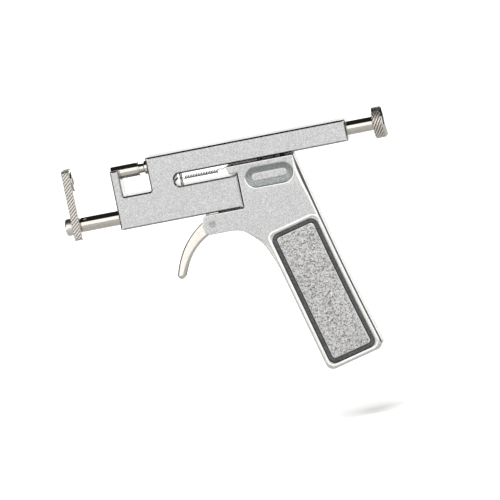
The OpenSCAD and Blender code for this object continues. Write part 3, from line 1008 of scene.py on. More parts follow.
@dataclass
class SlidingBody:
    """The body casting with its barrel, its cover and the fixed pieces in it.

    A pin's seat is its x, its z, its radius and whether it goes right through. The sear's window is its
    reach before and behind the end of the sear, and half its width. The spring's seat and the post's hole
    are each a depth and a radius.
    """

    palette: Palette
    edge: float = 0.75
    corner: float = 0.35
    notch_corner: float = 0.75
    front_wall: float = 3.7
    notch_length: float = 12.05
    front_wall_up: float = 1.45
    web_length: float = 10.5
    slot_height: float = 5.1
    slot_corner: float = 2.0
    lower_length: float = 52.3
    saddle_radius: float = 3.17
    bore_radius: float = 3.62
    guide_radius: float = 3.15
    cavity_half: float = 4.7
    cavity_x: Point = (33.0, 48.2)
    bore_step: float = 0.45
    shoulder: float = 29.95
    fit: float = 0.06
    lug_x: Point = (63.8, 68.2)
    lug_z: Point = (-10.6, -4.6)
    lug_middle: float = 2.52
    lug_half: float = 0.72
    pin_seats: tuple[tuple[float, float, float, bool], ...] = (
        (66.0, -8.6, 0.77, True), (59.2, 0.0, 0.82, False), (94.0, 0.0, 0.77, False))
    sear_window: Spot = (2.8, 1.6, 1.1)
    spring_seat: Point = (0.5, 1.3)
    post_hole: Point = (0.6, 0.62)

    def __post_init__(self) -> None:
        """Takes the casting's box from the frame."""
        self.low, self.high = box_mm("body_casting")
        self.top = 4.3
        self.barrel_under = -4.8
        self.floor = box_mm("body_cover")[0].z
        self.slot_floor = self.barrel_under - self.slot_height
        self.guide_z = pin_place("guide_rod")[1]
        self.cavity_roof = box_mm("body_cover")[1].z - 0.7

    def outline(self) -> Loop:
        """The casting's side view.

        Returns:
            Its points, counter-clockwise.
        """
        notch_end = self.front_wall + self.notch_length
        slot_x = notch_end + self.web_length
        small = self.corner
        return rounded([
            (0.0, self.floor, small), (self.lower_length, self.floor, small),
            (self.lower_length, self.slot_floor, small), (slot_x, self.slot_floor, self.slot_corner),
            (slot_x, self.barrel_under, self.slot_corner), (self.high.x, self.barrel_under, small),
            (self.high.x, self.top, small), (notch_end, self.top, small),
            (notch_end, self.slot_floor, self.notch_corner),
            (self.front_wall, self.slot_floor, self.notch_corner),
            (self.front_wall, self.front_wall_up, small), (0.0, self.front_wall_up, small),
        ], lead=1.0)

    def edge_size(self, spot: Point) -> tuple[float, float]:
        """Rounding of the casting's edges: smaller where two of them meet at a corner.

        Args:
            spot: A point of the outline.

        Returns:
            Its width and depth.
        """
        notch_end = self.front_wall + self.notch_length
        meets = [(0.0, self.floor), (self.lower_length, self.floor), (self.lower_length, self.slot_floor),
                 (self.high.x, self.barrel_under), (self.high.x, self.top), (notch_end, self.top),
                 (self.front_wall, self.front_wall_up), (0.0, self.front_wall_up)]
        near = min(math.dist(spot, corner) for corner in meets)
        size = self.corner * 0.95 if near < 1.1 else self.edge
        return size, size

    def casting(self) -> None:
        """Builds the casting with its bores and cavities."""
        half = self.high.y
        # Kind 1, the rounded edges, takes painted shade.
        piece = slab("body_casting_skin", self.outline(), -half, half, self.edge_size, CRISP_BEVEL, 1)
        tools = [
            drill(-1, self.high.x + 1, self.bore_radius - self.bore_step),
            drill(self.shoulder, self.high.x + 1, self.bore_radius),
            drill(-1, self.lower_length + 1, self.guide_radius, self.guide_z),
            block((-1, -self.saddle_radius, 0), (self.front_wall + 1, self.saddle_radius, 4)),
            block((self.cavity_x[0], -self.cavity_half, self.floor - 1),
                  (self.cavity_x[1], self.cavity_half, self.cavity_roof)),
        ]
        cover_low, cover_high = box_mm("body_cover")
        tools.append(block((cover_low.x - self.fit, self.cavity_half, self.floor - 1),
                           (self.lower_length + 1, half + 1, cover_high.z + self.fit)))
        carve(piece, tools)
        (x0, x1), (z0, z1) = self.lug_x, self.lug_z
        lug = rounded([(x0, z0, 1.5), (x1, z0, 1.5), (x1, z1, 0), (x0, z1, 0)])
        middles = [side * self.lug_middle for side in (-1, 1)]
        carve(piece, [slab("tool", lug, middle - self.lug_half, middle + self.lug_half, 0.15)
                      for middle in middles], join=True)
        nose = box_mm("sear")[1].x
        before, behind, wide = self.sear_window
        carve(piece, [
            block((nose - before, -wide, self.barrel_under - 1), (nose + behind, wide, 0)),
            shaft(pin_place("sear_spring")[0], self.barrel_under - 1, self.barrel_under + self.spring_seat[0],
                  self.spring_seat[1]),
            shaft(pin_place("spring_post")[0], self.cavity_roof + self.post_hole[0],
                  self.barrel_under + self.post_hole[0], self.post_hole[1]),
        ])
        carve(piece, [punch(circle(*spot), -half - 1 if through else 0.5, half + 1)
                      for *spot, through in self.pin_seats])
        # Painted shade: the barrel's underside and the cavity below it take kind 2, the dark recess colour.
        paint(piece, 2, lambda spot, normal: spot.x > self.lower_length - 1 and (
            normal.z < -0.9 and abs(spot.z - self.barrel_under) < 0.2
            or abs(spot.y) < self.cavity_half and spot.z < self.barrel_under))
        # The second material is painted shade on the rounded edges; the third is the painted shade under the
        # barrel.
        Palette.dress(piece, self.palette.cast, self.palette.wear_and_shade, self.palette.trench)
        place(even_normals(piece), Body.SLIDE, Slot.CAST, "body_casting")

    def cover(self) -> None:
        """Builds the cover plate on the far side, countersunk for its screws."""
        low, high = box_mm("body_cover")
        # Kind 1, the rounded edges, takes painted shade.
        plate = slab("body_cover_skin", rounded([
            (low.x, low.z, 0.4), (high.x, low.z, 0.4), (high.x, high.z, 0.8), (low.x, high.z, 0.8),
        ]), low.y, high.y, 0.18, edge_kind=1)
        tools = [punch(circle(x, z, 1.56), high.y - 0.8, high.y + 1) for x, z in self.screw_places()]
        carve(plate, tools)
        # The second material is painted shade on the rounded edges.
        Palette.dress(plate, self.palette.cast, self.palette.wear_and_shade)
        place(even_normals(plate), Body.SLIDE, Slot.CAST, "body_cover")

    def screw_places(self) -> list[Point]:
        """Where the cover's screws sit.

        Returns:
            Their (x, z) centres.
        """
        low, high = box_mm("cover_screws")
        inset = 1.5
        return [(x, z) for x in (low.x + inset, high.x - inset) for z in (low.z + inset, high.z - inset)]

    def screws(self) -> None:
        """Builds the cover's four slotted screws as one piece."""
        low, high = box_mm("cover_screws")
        place(
            slotted_screws("cover_screws_turned", self.screw_places(), 1.5, 0.8, (low.y, high.y), 0.68,
                           self.palette),
            Body.SLIDE, Slot.STEEL, "cover_screws")

    def bush(self) -> None:
        """Builds the rear end bush, with a small chamfered mouth."""
        low, high = box_mm("rear_end_bush")
        outer, inner, chamfer = high.z, 3.0, 0.25
        piece = lathe("rear_end_bush_turned", [
            (low.x, inner), (low.x, outer), (high.x - 0.05, outer), (high.x, outer - 0.05),
            (high.x, inner + chamfer), (high.x - chamfer, inner),
        ])
        Palette.dress(piece, self.palette.nickel)
        place(even_normals(piece), Body.SLIDE, Slot.STEEL, "rear_end_bush")

    def post(self) -> None:
        """Builds the upright post that the return spring hooks on, with a waist for the hook."""
        low, high = box_mm("spring_post")
        radius, waist, middle = (high.x - low.x) / 2, 0.42, -7.35
        profile = [(low.z, 0.0), (low.z, radius - 0.1), (low.z + 0.1, radius), (middle - 0.55, radius),
                   (middle - 0.3, waist), (middle + 0.3, waist), (middle + 0.55, radius),
                   (high.z - 0.1, radius), (high.z, radius - 0.1), (high.z, 0.0)]
        piece = lathe("spring_post_turned", profile, 0.0, 32)
        centre = (low.x + high.x) / 2 * MM
        piece.data.transform(Matrix.Translation((centre, 0, 0)) @ Matrix.Rotation(-math.pi / 2, 4, "Y"))
        Palette.dress(piece, self.palette.steel)
        place(piece, Body.SLIDE, Slot.STEEL, "spring_post")

    def build(self) -> None:
        """Builds every piece of the sliding body."""
        self.casting()
        self.cover()
        self.screws()
        self.bush()
        self.post()


def slotted_screws(name: str, places: Sequence[Point], head: float, shank: float, reach: Point,
                   head_height: float, palette: Palette) -> bpy.types.Object:
    """Cheese-head screws that point to the near side, as one object.

    Args:
        name: The object's name.
        places: (x, z) of each screw.
        head: Radius of the head.
        shank: Radius of the shank.
        reach: Lowest and highest y.
        head_height: Height of the head.
        palette: The materials.

    Returns:
        The object.
    """
    draft = None
    tip, top = reach
    first_turn, each_turn = 0.6, 1.1
    for k, (x, z) in enumerate(places):
        profile = [(tip, 0.0), (tip, shank - 0.15), (tip + 0.15, shank), (top - head_height, shank),
                   (top - head_height, head), (top - 0.22, head), (top - 0.06, head - 0.12),
                   (top, head - 0.34), (top, 0.0)]
        screw = lathe(name if draft is None else "tool", profile, 0.0, 40)
        shift = Matrix.Translation((x * MM, 0, z * MM))
        screw.data.transform(shift @ Matrix.Rotation(math.pi / 2, 4, "Z"))
        slot = block((-head - 1, top - 0.42, -head * 0.16), (head + 1, top + 1, head * 0.16))
        slot.data.transform(shift @ Matrix.Rotation(first_turn + each_turn * k, 4, "Y"))
        carve(screw, [slot])
        draft = screw if draft is None else carve(draft, [screw], join=True)
    Palette.dress(draft, palette.steel)
    return draft


@dataclass
class Plunger:
    """The stud holder, plunger head, cocking sleeve and cocking knob."""

    palette: Palette
    chamfer: float = 0.3
    flange: float = 0.45
    neck_radius: float = 2.0
    neck_length: float = 2.1
    dome: float = 1.4
    tube: float = 2.85
    rod_bore: float = 2.02
    knurl: Knurl = Knurl(20, 3, 0.26)

    def holder(self) -> None:
        """Builds the stud holder: a tube with a socket and a thin flange at its rear."""
        _, high = box_mm("stud_holder")
        outer, flange, end, soft = self.tube, high.z, high.x, self.chamfer
        socket, inner, socket_end, face = 1.5, 1.42, 6.0, end - self.flange
        piece = lathe("stud_holder_turned", [
            (soft * 0.5, socket), (0.0, socket + soft * 0.5), (0.0, outer - soft),
            (soft * 0.3, outer - soft * 0.3), (soft, outer), (face - 0.35, outer), (face - 0.3, outer - 0.12),
            (face - 0.05, outer - 0.12), (face, outer), (face, flange - 0.08), (face + 0.08, flange),
            (end - 0.08, flange), (end, flange - 0.08), (end, inner), (6.9, inner), (socket_end, inner),
            (socket_end, socket),
        ])
        Palette.dress(piece, self.palette.nickel)
        place(even_normals(piece), Body.PLUNGER, Slot.NICKEL, "stud_holder")

    def head(self) -> None:
        """Builds the plunger head with its waisted neck and collar land."""
        low, high = box_mm("plunger_head")
        start, neck = box_mm("stud_holder")[1].x, self.neck_radius
        shoulder = start + self.neck_length
        outer, land, stop, depth = self.tube, high.z, high.x - 3.6, 9.6
        piece = lathe("plunger_head_turned", [
            (low.x, 0.0), (low.x, 1.4), (start, 1.4), (start, neck), (shoulder - 0.4, neck),
            (shoulder - 0.12, neck + 0.12), (shoulder, neck + 0.4), (shoulder, outer - 0.25),
            (shoulder + 0.25, outer), (stop, outer), (stop, land - 0.2), (stop + 0.2, land),
            (high.x - 0.2, land), (high.x, land - 0.2), (high.x, self.rod_bore),
            (high.x - depth, self.rod_bore), (high.x - depth, 0.0),
        ])
        Palette.dress(piece, self.palette.nickel)
        place(even_normals(piece), Body.PLUNGER, Slot.NICKEL, "plunger_head")

    def sleeve(self) -> None:
        """Builds the cocking sleeve with the milled slot for the travel pin."""
        low, high = box_mm("cocking_sleeve")
        radius, end, spigot, depth = high.z, box_mm("cocking_knob")[0].x, 2.0, 8.2
        piece = lathe("cocking_sleeve_turned", [
            (low.x, self.rod_bore), (low.x, radius - 0.2), (low.x + 0.2, radius), (end - 0.25, radius),
            (end - 0.02, radius - 0.23), (end - 0.02, spigot), (high.x, spigot), (high.x, 0.0),
            (low.x + depth, 0.0), (low.x + depth, self.rod_bore),
        ])
        pin_low, pin_high = box_mm("travel_pin")
        carve(piece, [block((low.x + 2.0, radius - 0.75, pin_low.z - 0.05),
                            (pin_high.x + 0.3, radius + 1, pin_high.z + 0.05))])
        Palette.dress(piece, self.palette.nickel)
        place(even_normals(piece), Body.PLUNGER, Slot.NICKEL, "cocking_sleeve")

    def knob(self) -> None:
        """Builds the knob with its diamond knurl and domed end face."""
        low, high = box_mm("cocking_knob")
        knurl = self.knurl
        rim = circle(0.0, 0.0, high.z, knurl.teeth * knurl.fine)
        first, last = low.x + 0.35, high.x - self.dome
        turns = [math.radians(d) for d in range(6, 91, 6)]
        dome = [(last + 0.05 + (self.dome - 0.05) * math.sin(a), 0.12 + 1.7 * self.dome * (1 - math.cos(a)))
                for a in turns] + [(high.x, 5.0)]
        piece = knurled_piece("cocking_knob_knurled", rim, [(low.x, 1.0), (low.x, 0.7), (low.x + 0.3, 0.3)],
                              (first, last), dome, knurl)
        carve(piece, [drill(low.x - 1, low.x + 3.8, self.rod_bore)], sharp=FINE_SHARP)
        # The third material is painted shade in the knurl's grooves.
        Palette.dress(piece, self.palette.knurl, self.palette.nickel, self.palette.groove)
        place(piece, Body.PLUNGER, Slot.NICKEL, "cocking_knob")

    def build(self) -> None:
        """Builds every visible piece of the plunger."""
        self.holder()
        self.head()
        self.sleeve()
        self.knob()


@dataclass
class FrontEnd:
    """The guide rod, the clasp plate with its cup, and the plate's screw."""

    palette: Palette
    knurl: Knurl = Knurl(58, 2, 0.2)
    corner: float = 1.5

    def guide_rod(self) -> None:
        """Builds the guide rod."""
        low, high = box_mm("guide_rod")
        radius, z = (high.z - low.z) / 2, (high.z + low.z) / 2
        thread, depth = 1.78, 9.0
        piece = lathe("guide_rod_turned", [
            (low.x, thread), (low.x, radius - 0.3), (low.x + 0.3, radius), (high.x - 0.4, radius),
            (high.x, radius - 0.4), (high.x, 0.0), (low.x + depth, 0.0), (low.x + depth, thread),
        ], z)
        Palette.dress(piece, self.palette.nickel)
        place(even_normals(piece), Body.HANDLE, Slot.NICKEL, "guide_rod")

    def plate(self) -> None:
        """Builds the clasp plate, knurled all round its rim."""
        low, high = box_mm("clasp_plate")
        knurl = self.knurl
        rim = evenly(rounded([
            (low.y, low.z, self.corner), (high.y, low.z, self.corner),
            (high.y, high.z, self.corner), (low.y, high.z, self.corner),
        ], 12.0), knurl.teeth * knurl.fine)
        lip = 0.16
        piece = knurled_piece("clasp_plate_knurled", rim, [(low.x, 0.5), (low.x, 0.14)],
                              (low.x + lip, high.x - lip), [(high.x, 0.14), (high.x, 0.5)], knurl)
        tools = [drill(low.x - 1, high.x + 1, 1.8, pin_place("guide_rod")[1]),
                 drill(low.x - 1, high.x + 1, 1.6), drill(high.x - 2, high.x + 1, 3.22)]
        carve(piece, tools, sharp=FINE_SHARP)
        # The third material is painted shade in the knurl's grooves.
        Palette.dress(piece, self.palette.knurl, self.palette.nickel, self.palette.groove)
        place(piece, Body.CLASP, Slot.NICKEL, "clasp_plate")

    def cup(self) -> None:
        """Builds the round clasp cup, dished towards the ear."""
        low, high = box_mm("clasp_cup")
        face, proud, outer, bore = high.x - 0.5, high.x, high.z, 1.6
        piece = lathe("clasp_cup_turned", [
            (low.x, bore), (low.x, outer - 1.02), (face + 0.01, outer - 1.02), (face + 0.01, outer - 0.12),
            (face + 0.12, outer), (proud - 0.15, outer), (proud, outer - 0.2), (proud, outer - 0.7),
            (proud - 0.35, bore + 0.5), (proud - 0.35, bore + 0.2), (proud - 0.5, bore),
        ])
        Palette.dress(piece, self.palette.nickel)
        place(even_normals(piece), Body.CLASP, Slot.NICKEL, "clasp_cup")

    def screw(self) -> None:
        """Builds the slotted screw that holds the clasp plate."""
        low, high = box_mm("plate_screw")
        head, z = (high.z - low.z) / 2, (high.z + low.z) / 2
        seat, shank = box_mm("clasp_plate")[0].x - 0.05, 1.75
        profile = [(low.x, 0.0), (low.x, head - 0.95), (low.x + 0.08, head - 0.55),
                   (low.x + 0.28, head - 0.22), (low.x + 0.6, head - 0.04), (low.x + 0.9, head),
                   (seat - 0.2, head), (seat, head - 0.2), (seat, shank), (high.x - 0.3, shank),
                   (high.x, 1.45), (high.x, 0.0)]
        piece = lathe("plate_screw_turned", profile, z)
        carve(piece, [block((low.x - 1, -head - 1, z - 0.5), (low.x + 0.9, head + 1, z + 0.5))])
        Palette.dress(piece, self.palette.knurl)
        place(even_normals(piece), Body.HANDLE, Slot.NICKEL, "plate_screw")

    def build(self) -> None:
        """Builds the front end."""
        self.guide_rod()
        self.plate()
        self.cup()
        self.screw()


class Side(Enum):
    """The two halves of the handle, with the CAD node of each."""

    NEAR = "handle_left_shell"
    FAR = "handle_right_shell"

    def half_width(self) -> float:
        """How far its outer face is from the middle plane."""
        low, high = box_mm(self.value)
        return max(abs(low.y), abs(high.y))


@dataclass
class Handle:
    """The two handle shells: block, grip, rims and rough panels.

    Each room is hollowed out of the block between two corners. A corner is its x, half the room's width
    and its distance below or above the block's top.
    """

    palette: Palette
    rake: float = 14.0
    width: float = 25.7
    length: float = 89.0
    waist: float = 0.8
    block_top: float = -5.7
    block_rear: float = 76.9
    seam: float = 52.6
    nose_length: float = 4.7
    nose_under: float = -9.0
    hub_clear: float = 4.3
    rim: float = 2.0
    trench: float = 2.1
    relief: float = 0.75
    sunk: float = 0.07
    seam_edge: float = 0.12
    panel_start: float = 25.0
    inner_half: float = 4.7
    hub_room: float = 4.5
    pivot_bore: float = 1.52
    rod_bore: float = 3.12
    main_room: tuple[Spot, Spot] = ((50.9, 3.6, 6.2), (75.4, 3.6, 1.0))
    nose_room: tuple[Spot, Spot] = ((46.9, 0.9, 2.5), (49.9, 0.9, 1.0))

    def __post_init__(self) -> None:
        """Takes the places that the frame fixes."""
        self.pivot = pin_place("trigger_pivot_pin")
        self.tongue_top = box_mm("body_cover")[0].z - 0.5

    def at(self, along: float, across: float) -> Point:
        """A place on the grip, from its rear top corner.

        Args:
            along: Distance down the grip.
            across: Distance forwards from its rear edge.

        Returns:
            The (x, z) point.
        """
        lean = math.radians(self.rake)
        return (self.block_rear + along * math.sin(lean) - across * math.cos(lean),
                self.block_top - along * math.cos(lean) - across * math.sin(lean))

    def rear(self, along: float) -> Point:
        """A place on the grip's slightly waisted rear edge."""
        return self.at(along, self.waist * math.sin(math.pi * along / self.length))

    def outline(self) -> Loop:
        """The handle's side view.

        Returns:
            Its points, counter-clockwise.
        """
        x, z = self.pivot
        reach = self.hub_clear
        nose = self.seam - self.nose_length
        edge = [(*self.rear(along), 0.0) for along in range(6, int(self.length) - 3, 6)]
        return rounded([
            (nose, self.block_top, 0.45), (nose + 1.0, self.nose_under, 0.45),
            (self.seam, self.nose_under, 0.3), (self.seam, self.tongue_top, 0.8), (x, self.tongue_top, 0.5),
            (x - reach * 0.8, self.tongue_top, reach * 0.55), (x - reach, z, 0.5),
            (x - reach * 0.8, z - reach, reach * 0.6), (x + 7, z - reach, 6.0),
            (*self.at(20, self.width + 7), 8.0), (*self.at(29, self.width + 1.5), 14.0),
            (*self.at(40, self.width), 14.0), (*self.at(self.length, self.width), 3.2),
            (*self.rear(self.length), 3.2), *edge[::-1], (self.block_rear, self.block_top, 0.8),
        ], 7.5)

    def grip_loop(self, inset: float, corner: float) -> Loop:
        """The grip's outline below the block, moved inwards.

        Args:
            inset: How far it is moved.
            corner: Radius of its corners.

        Returns:
            Its points, counter-clockwise.
        """
        top = self.panel_start
        clear = inset + corner + 1.0
        first, last = math.ceil(top + clear), math.floor(self.length - clear)
        edge = [(*self.rear(along), 0.0) for along in range(first, last + 1, 6)]
        sharp = [(*self.at(top, self.width), 0.0), (*self.at(self.length, self.width), 0.0),
                 (*self.rear(self.length), 0.0), *edge[::-1], (*self.rear(top), 0.0)]
        moved = shrunk([(x, z) for x, z, _ in sharp], inset)
        turns = {0, 1, 2, len(sharp) - 1}
        return rounded([(x, z, corner if i in turns else 0.0) for i, (x, z) in enumerate(moved)], 9.0)

    def edge_size(self, spot: Point) -> tuple[float, float]:
        """Rounding of the casting's edges: broad down the grip and behind the block, small elsewhere.

        Args:
            spot: A point of the outline.

        Returns:
            Its width and depth.
        """
        if spot[0] < self.seam + 1:
            return 0.38, 0.38
        on_rear = spot[0] > self.block_rear - 1
        ease = min(1.0, max(0.0, (self.block_top - spot[1]) / 2.5 if on_rear else (-30 - spot[1]) / 6))
        broad = 1.3 + 0.8 * min(1.0, max(0.0, (spot[1] + 26) / 8)) * (spot[1] < self.block_top - 0.5)
        return 0.45 + (broad - 0.45) * ease, 0.45 + 0.75 * ease

    def pill(self) -> Pocket:
        """The sunk pill-shaped thumb mark on the block, its walls in painted shade.

        Returns:
            The pocket.
        """
        left, length, height = self.seam + 2.8, 20.2, 8.6
        middle = self.block_top - 2.3 - height / 2
        radius = height / 2
        corners = [(left, middle - radius, radius - 0.01), (left + length, middle - radius, radius - 0.01),
                   (left + length, middle + radius, radius - 0.01), (left, middle + radius, radius - 0.01)]
        # Kind 3 is painted shade on the pill's walls; kind 2 is the polished lip.
        return Pocket(rounded(corners, 9.0), [
            (-0.45, 0.0), (-0.2, 0.05), (0.05, 0.16), (0.4, 0.45), (2.1, 0.92), (2.45, 1.02), (2.7, 0.98),
            (2.95, 0.9),
        ], [2, 2, 3, 3, 3, 3, 0, 0])

    def trench_pocket(self) -> Pocket:
        """The trench round the raised panel, its walls and floor in painted shade.

        Returns:
            The pocket.
        """
        loop = self.grip_loop(self.rim, 3.4)
        deep, wide = self.relief, self.trench
        # Kind 1 is painted shade on the trench's walls and floor; kind 2 is the polished lip.
        return Pocket(loop, [
            (0.0, 0.0), (0.12, 0.1), (0.3, deep), (wide - 0.35, deep), (wide, deep * 0.35),
            (wide + 0.3, 0.16),
        ], [2, 1, 1, 1, 0, 0])

    def shell(self, side: Side) -> None:
        """Builds one handle shell.

        Args:
            side: Which half.
        """
        node, half = side.value, side.half_width()
        pockets = [self.trench_pocket(), self.pill()]
        piece = slab_with_pockets(node + "_cast", self.outline(), -half + self.sunk, -0.02, self.edge_size,
                                  pockets, LAND_AND_BEVEL, 2, self.seam_edge)
        if side is Side.FAR:
            mirrored(piece)
        x, z = self.pivot
        inner, top = self.inner_half, self.tongue_top + 1
        tools = [
            drill(self.seam - 10, box_mm("guide_rod")[1].x + 0.1, self.rod_bore, pin_place("guide_rod")[1]),
            punch(circle(x, z, self.hub_room), -inner, inner),
            block((x - 10, -inner, z - 10), (x, inner, top)),
            block((x - 0.1, -inner, z), (x + self.hub_room, inner, top)),
            *(block((x0, -wide, self.block_top - down), (x1, wide, self.block_top + up))
              for (x0, wide, down), (x1, _, up) in (self.main_room, self.nose_room)),
            punch(circle(x, z, self.pivot_bore), -half - 1, half + 1),
        ]
        if side is Side.FAR:
            for spot in self.screw_places():
                tools.append(punch(circle(*spot, 2.27), half - 1.9, half + 1))
            for pin in ("rod_pin", "spring_anchor_pin", "sear_trip_pin"):
                pin_low, pin_high = box_mm(pin)
                middle = (pin_low + pin_high) / 2
                hole = circle(middle.x, middle.z, (pin_high.x - pin_low.x) / 2 + 0.02)
                tools.append(punch(hole, 1.0, half + 1))
        carve(piece, tools)
        # Painted shade on the block's top, where the body sits on it.
        paint(piece, 1, lambda spot, normal: normal.z > 0.9 and abs(spot.z - self.block_top) < 0.3)
        # The second material is painted shade; the fourth is painted shade on the pill's walls.
        Palette.dress(piece, self.palette.cast, self.palette.trench, self.palette.rim, self.palette.pill_wall_shade)
        place(even_normals(piece), Body.HANDLE, Slot.CAST, node)

    def screw_places(self) -> list[Point]:
        """Where the handle's screws sit, on the far side."""
        return [self.at(self.length - 9, self.width / 2), self.at(19, 8), (self.pivot[0] + 12, self.pivot[1])]

    def rim_bead(self, side: Side) -> None:
        """Builds the polished rim round the grip's panel.

        Args:
            side: Which half.
        """
        face = side.half_width()
        outer = self.grip_loop(0.55, 3.6)
        sections = [(0.0, 0.35), (0.0, 0.12), (0.12, 0.03), (0.35, 0.0), (1.1, 0.0), (1.33, 0.04),
                    (1.42, 0.12), (1.42, 0.35)]
        draft = MeshDraft.empty()
        rings = [draft.ring([(x, -face + depth, z) for x, z in shrunk(outer, inset)])
                 for inset, depth in sections]
        for a, b in zip(rings, rings[1:] + rings[:1]):
            draft.bridge(a, b)
        piece = draft.build(f"grip_rim_{side.name.lower()}")
        if side is Side.FAR:
            mirrored(piece)
        Palette.dress(piece, self.palette.rim)
        place(even_normals(piece), Body.HANDLE, Slot.CAST, side.value)

    def rough_panel(self, side: Side) -> None:
        """Builds the raised panel, with the lumps of a coarse cast surface.

        Args:
            side: Which half.
        """
        face = side.half_width()
        loop = self.grip_loop(self.rim + self.trench + 0.1, 2.4)
        base, crest = -face + 0.85, -face + 0.2
        piece = slab(f"grip_panel_{side.name.lower()}", loop, crest, base, 0.3)
        remesh = piece.modifiers.new("even", "REMESH")
        remesh.mode = "VOXEL"
        remesh.voxel_size = 0.30 * MM
        bake(piece)
        for vertex in piece.data.vertices:
            if vertex.co.y > (base - 0.35) * MM:
                continue
            spot = vertex.co / MM
            lumps = noise.noise(spot * 1.15) + 0.55 * noise.noise(spot * 2.6 + Vector((7, 3, 5)))
            pits = max(0.0, noise.noise(spot * 1.9 + Vector((31, 11, 2))) - 0.28)
            vertex.co.y -= max(-0.16, min(0.16, 0.15 * lumps - 0.7 * pits)) * MM
        for polygon in piece.data.polygons:
            polygon.use_smooth = True
        if side is Side.FAR:
            mirrored(piece)
            carve(piece, [punch(circle(*self.screw_places()[0], 2.6), 0, 9)], sharp=60.0)
        Palette.dress(piece, self.palette.panel)
        place(piece, Body.HANDLE, Slot.CAST, side.value)

    def screws(self) -> None:
        """Builds the three screws that hold the shells together."""
        low, high = box_mm("handle_screws")
        place(
            slotted_screws("handle_screws_turned", self.screw_places(), 2.25, 1.25, (low.y, high.y), 1.5,
                           self.palette),
            Body.HANDLE, Slot.STEEL, "handle_screws")

    def build(self) -> None:
        """Builds both shells with their rims, panels and screws."""
        for side in Side:
            self.shell(side)
            self.rim_bead(side)
            self.rough_panel(side)
        self.screws()


@dataclass
class Trigger:
    """The trigger with its finger blade, hub and fork."""

    palette: Palette
    reach: float = 25.7
    lean: float = 42.6
    hub: float = 4.0
    tip: float = 1.7
    blade_width: float = 7.0
    fork_in: float = 3.4
    fork_out: float = 4.4
    edge: float = 1.1

    def __post_init__(self) -> None:
        """Takes the pivot's place from the frame."""
        self.pivot = pin_place("trigger_pivot_pin")

    def blade_outline(self) -> Loop:
        """The curved finger blade's side view, hub included.

        Returns:
            Its points, counter-clockwise.
        """
        hub = Vector(self.pivot)
        lean = math.radians(self.lean)
        tip = hub - self.reach * Vector((math.sin(lean), math.cos(lean)))
        bend = hub - Vector((0.49 * self.reach, 0.2 * self.reach))
        count = 22
        left: Loop = []
        right: Loop = []
        for k in range(count + 1):
            t = 0.1 + 0.9 * k / count
            spot = (1 - t) ** 2 * hub + 2 * t * (1 - t) * bend + t * t * tip
            along = ((1 - t) * (bend - hub) + t * (tip - bend)).normalized()
            wide = self.hub * 0.8 * (1 - t) + self.tip * t
            normal = Vector((-along.y, along.x))
            left.append(tuple(spot + normal * wide))
            right.append(tuple(spot - normal * wide))
        ahead = math.atan2(along.y, along.x)
        end = [(tip.x + self.tip * math.cos(ahead + a), tip.y + self.tip * math.sin(ahead + a))
               for a in (math.pi / 2 - math.pi * k / 10 for k in range(1, 10))]
        loop = left + end + right[::-1]
        return loop if area_of(loop) > 0 else loop[::-1]

    def build(self) -> None:
        """Builds the trigger."""
        half = self.blade_width / 2
        piece = slab("trigger_cast", self.blade_outline(), -half, half, self.edge)
        hub = slab("tool", circle(*self.pivot, self.hub), -self.fork_out, self.fork_out, 0.35)
        pin_low, pin_high = box_mm("trigger_push_pin")
        pin = (pin_low + pin_high) / 2
        push = Vector((pin.x, pin.z))
        hub_spot = Vector(self.pivot)
        along = (push - hub_spot).normalized()
        side = Vector((-along.y, along.x))
        arm = rounded([(*(hub_spot - side * 2.1), 0.0), (*(push - side * 1.5 + along * 1.5), 1.45),
                       (*(push + side * 1.5 + along * 1.5), 1.45), (*(hub_spot + side * 2.1), 0.0)], 9.0)
        if area_of(arm) < 0:
            arm = arm[::-1]
        arms = [slab("tool", arm, y0, y0 + 1.0, 0.18) for y0 in (-self.fork_out, self.fork_in)]
        carve(piece, [hub, *arms], join=True)
        carve(piece, [punch(circle(*self.pivot, 1.55), -9, 9), punch(circle(push.x, push.y, 0.92), -9, 9)])
        Palette.dress(piece, self.palette.nickel)
        place(even_normals(piece), Body.TRIGGER, Slot.NICKEL, "trigger")


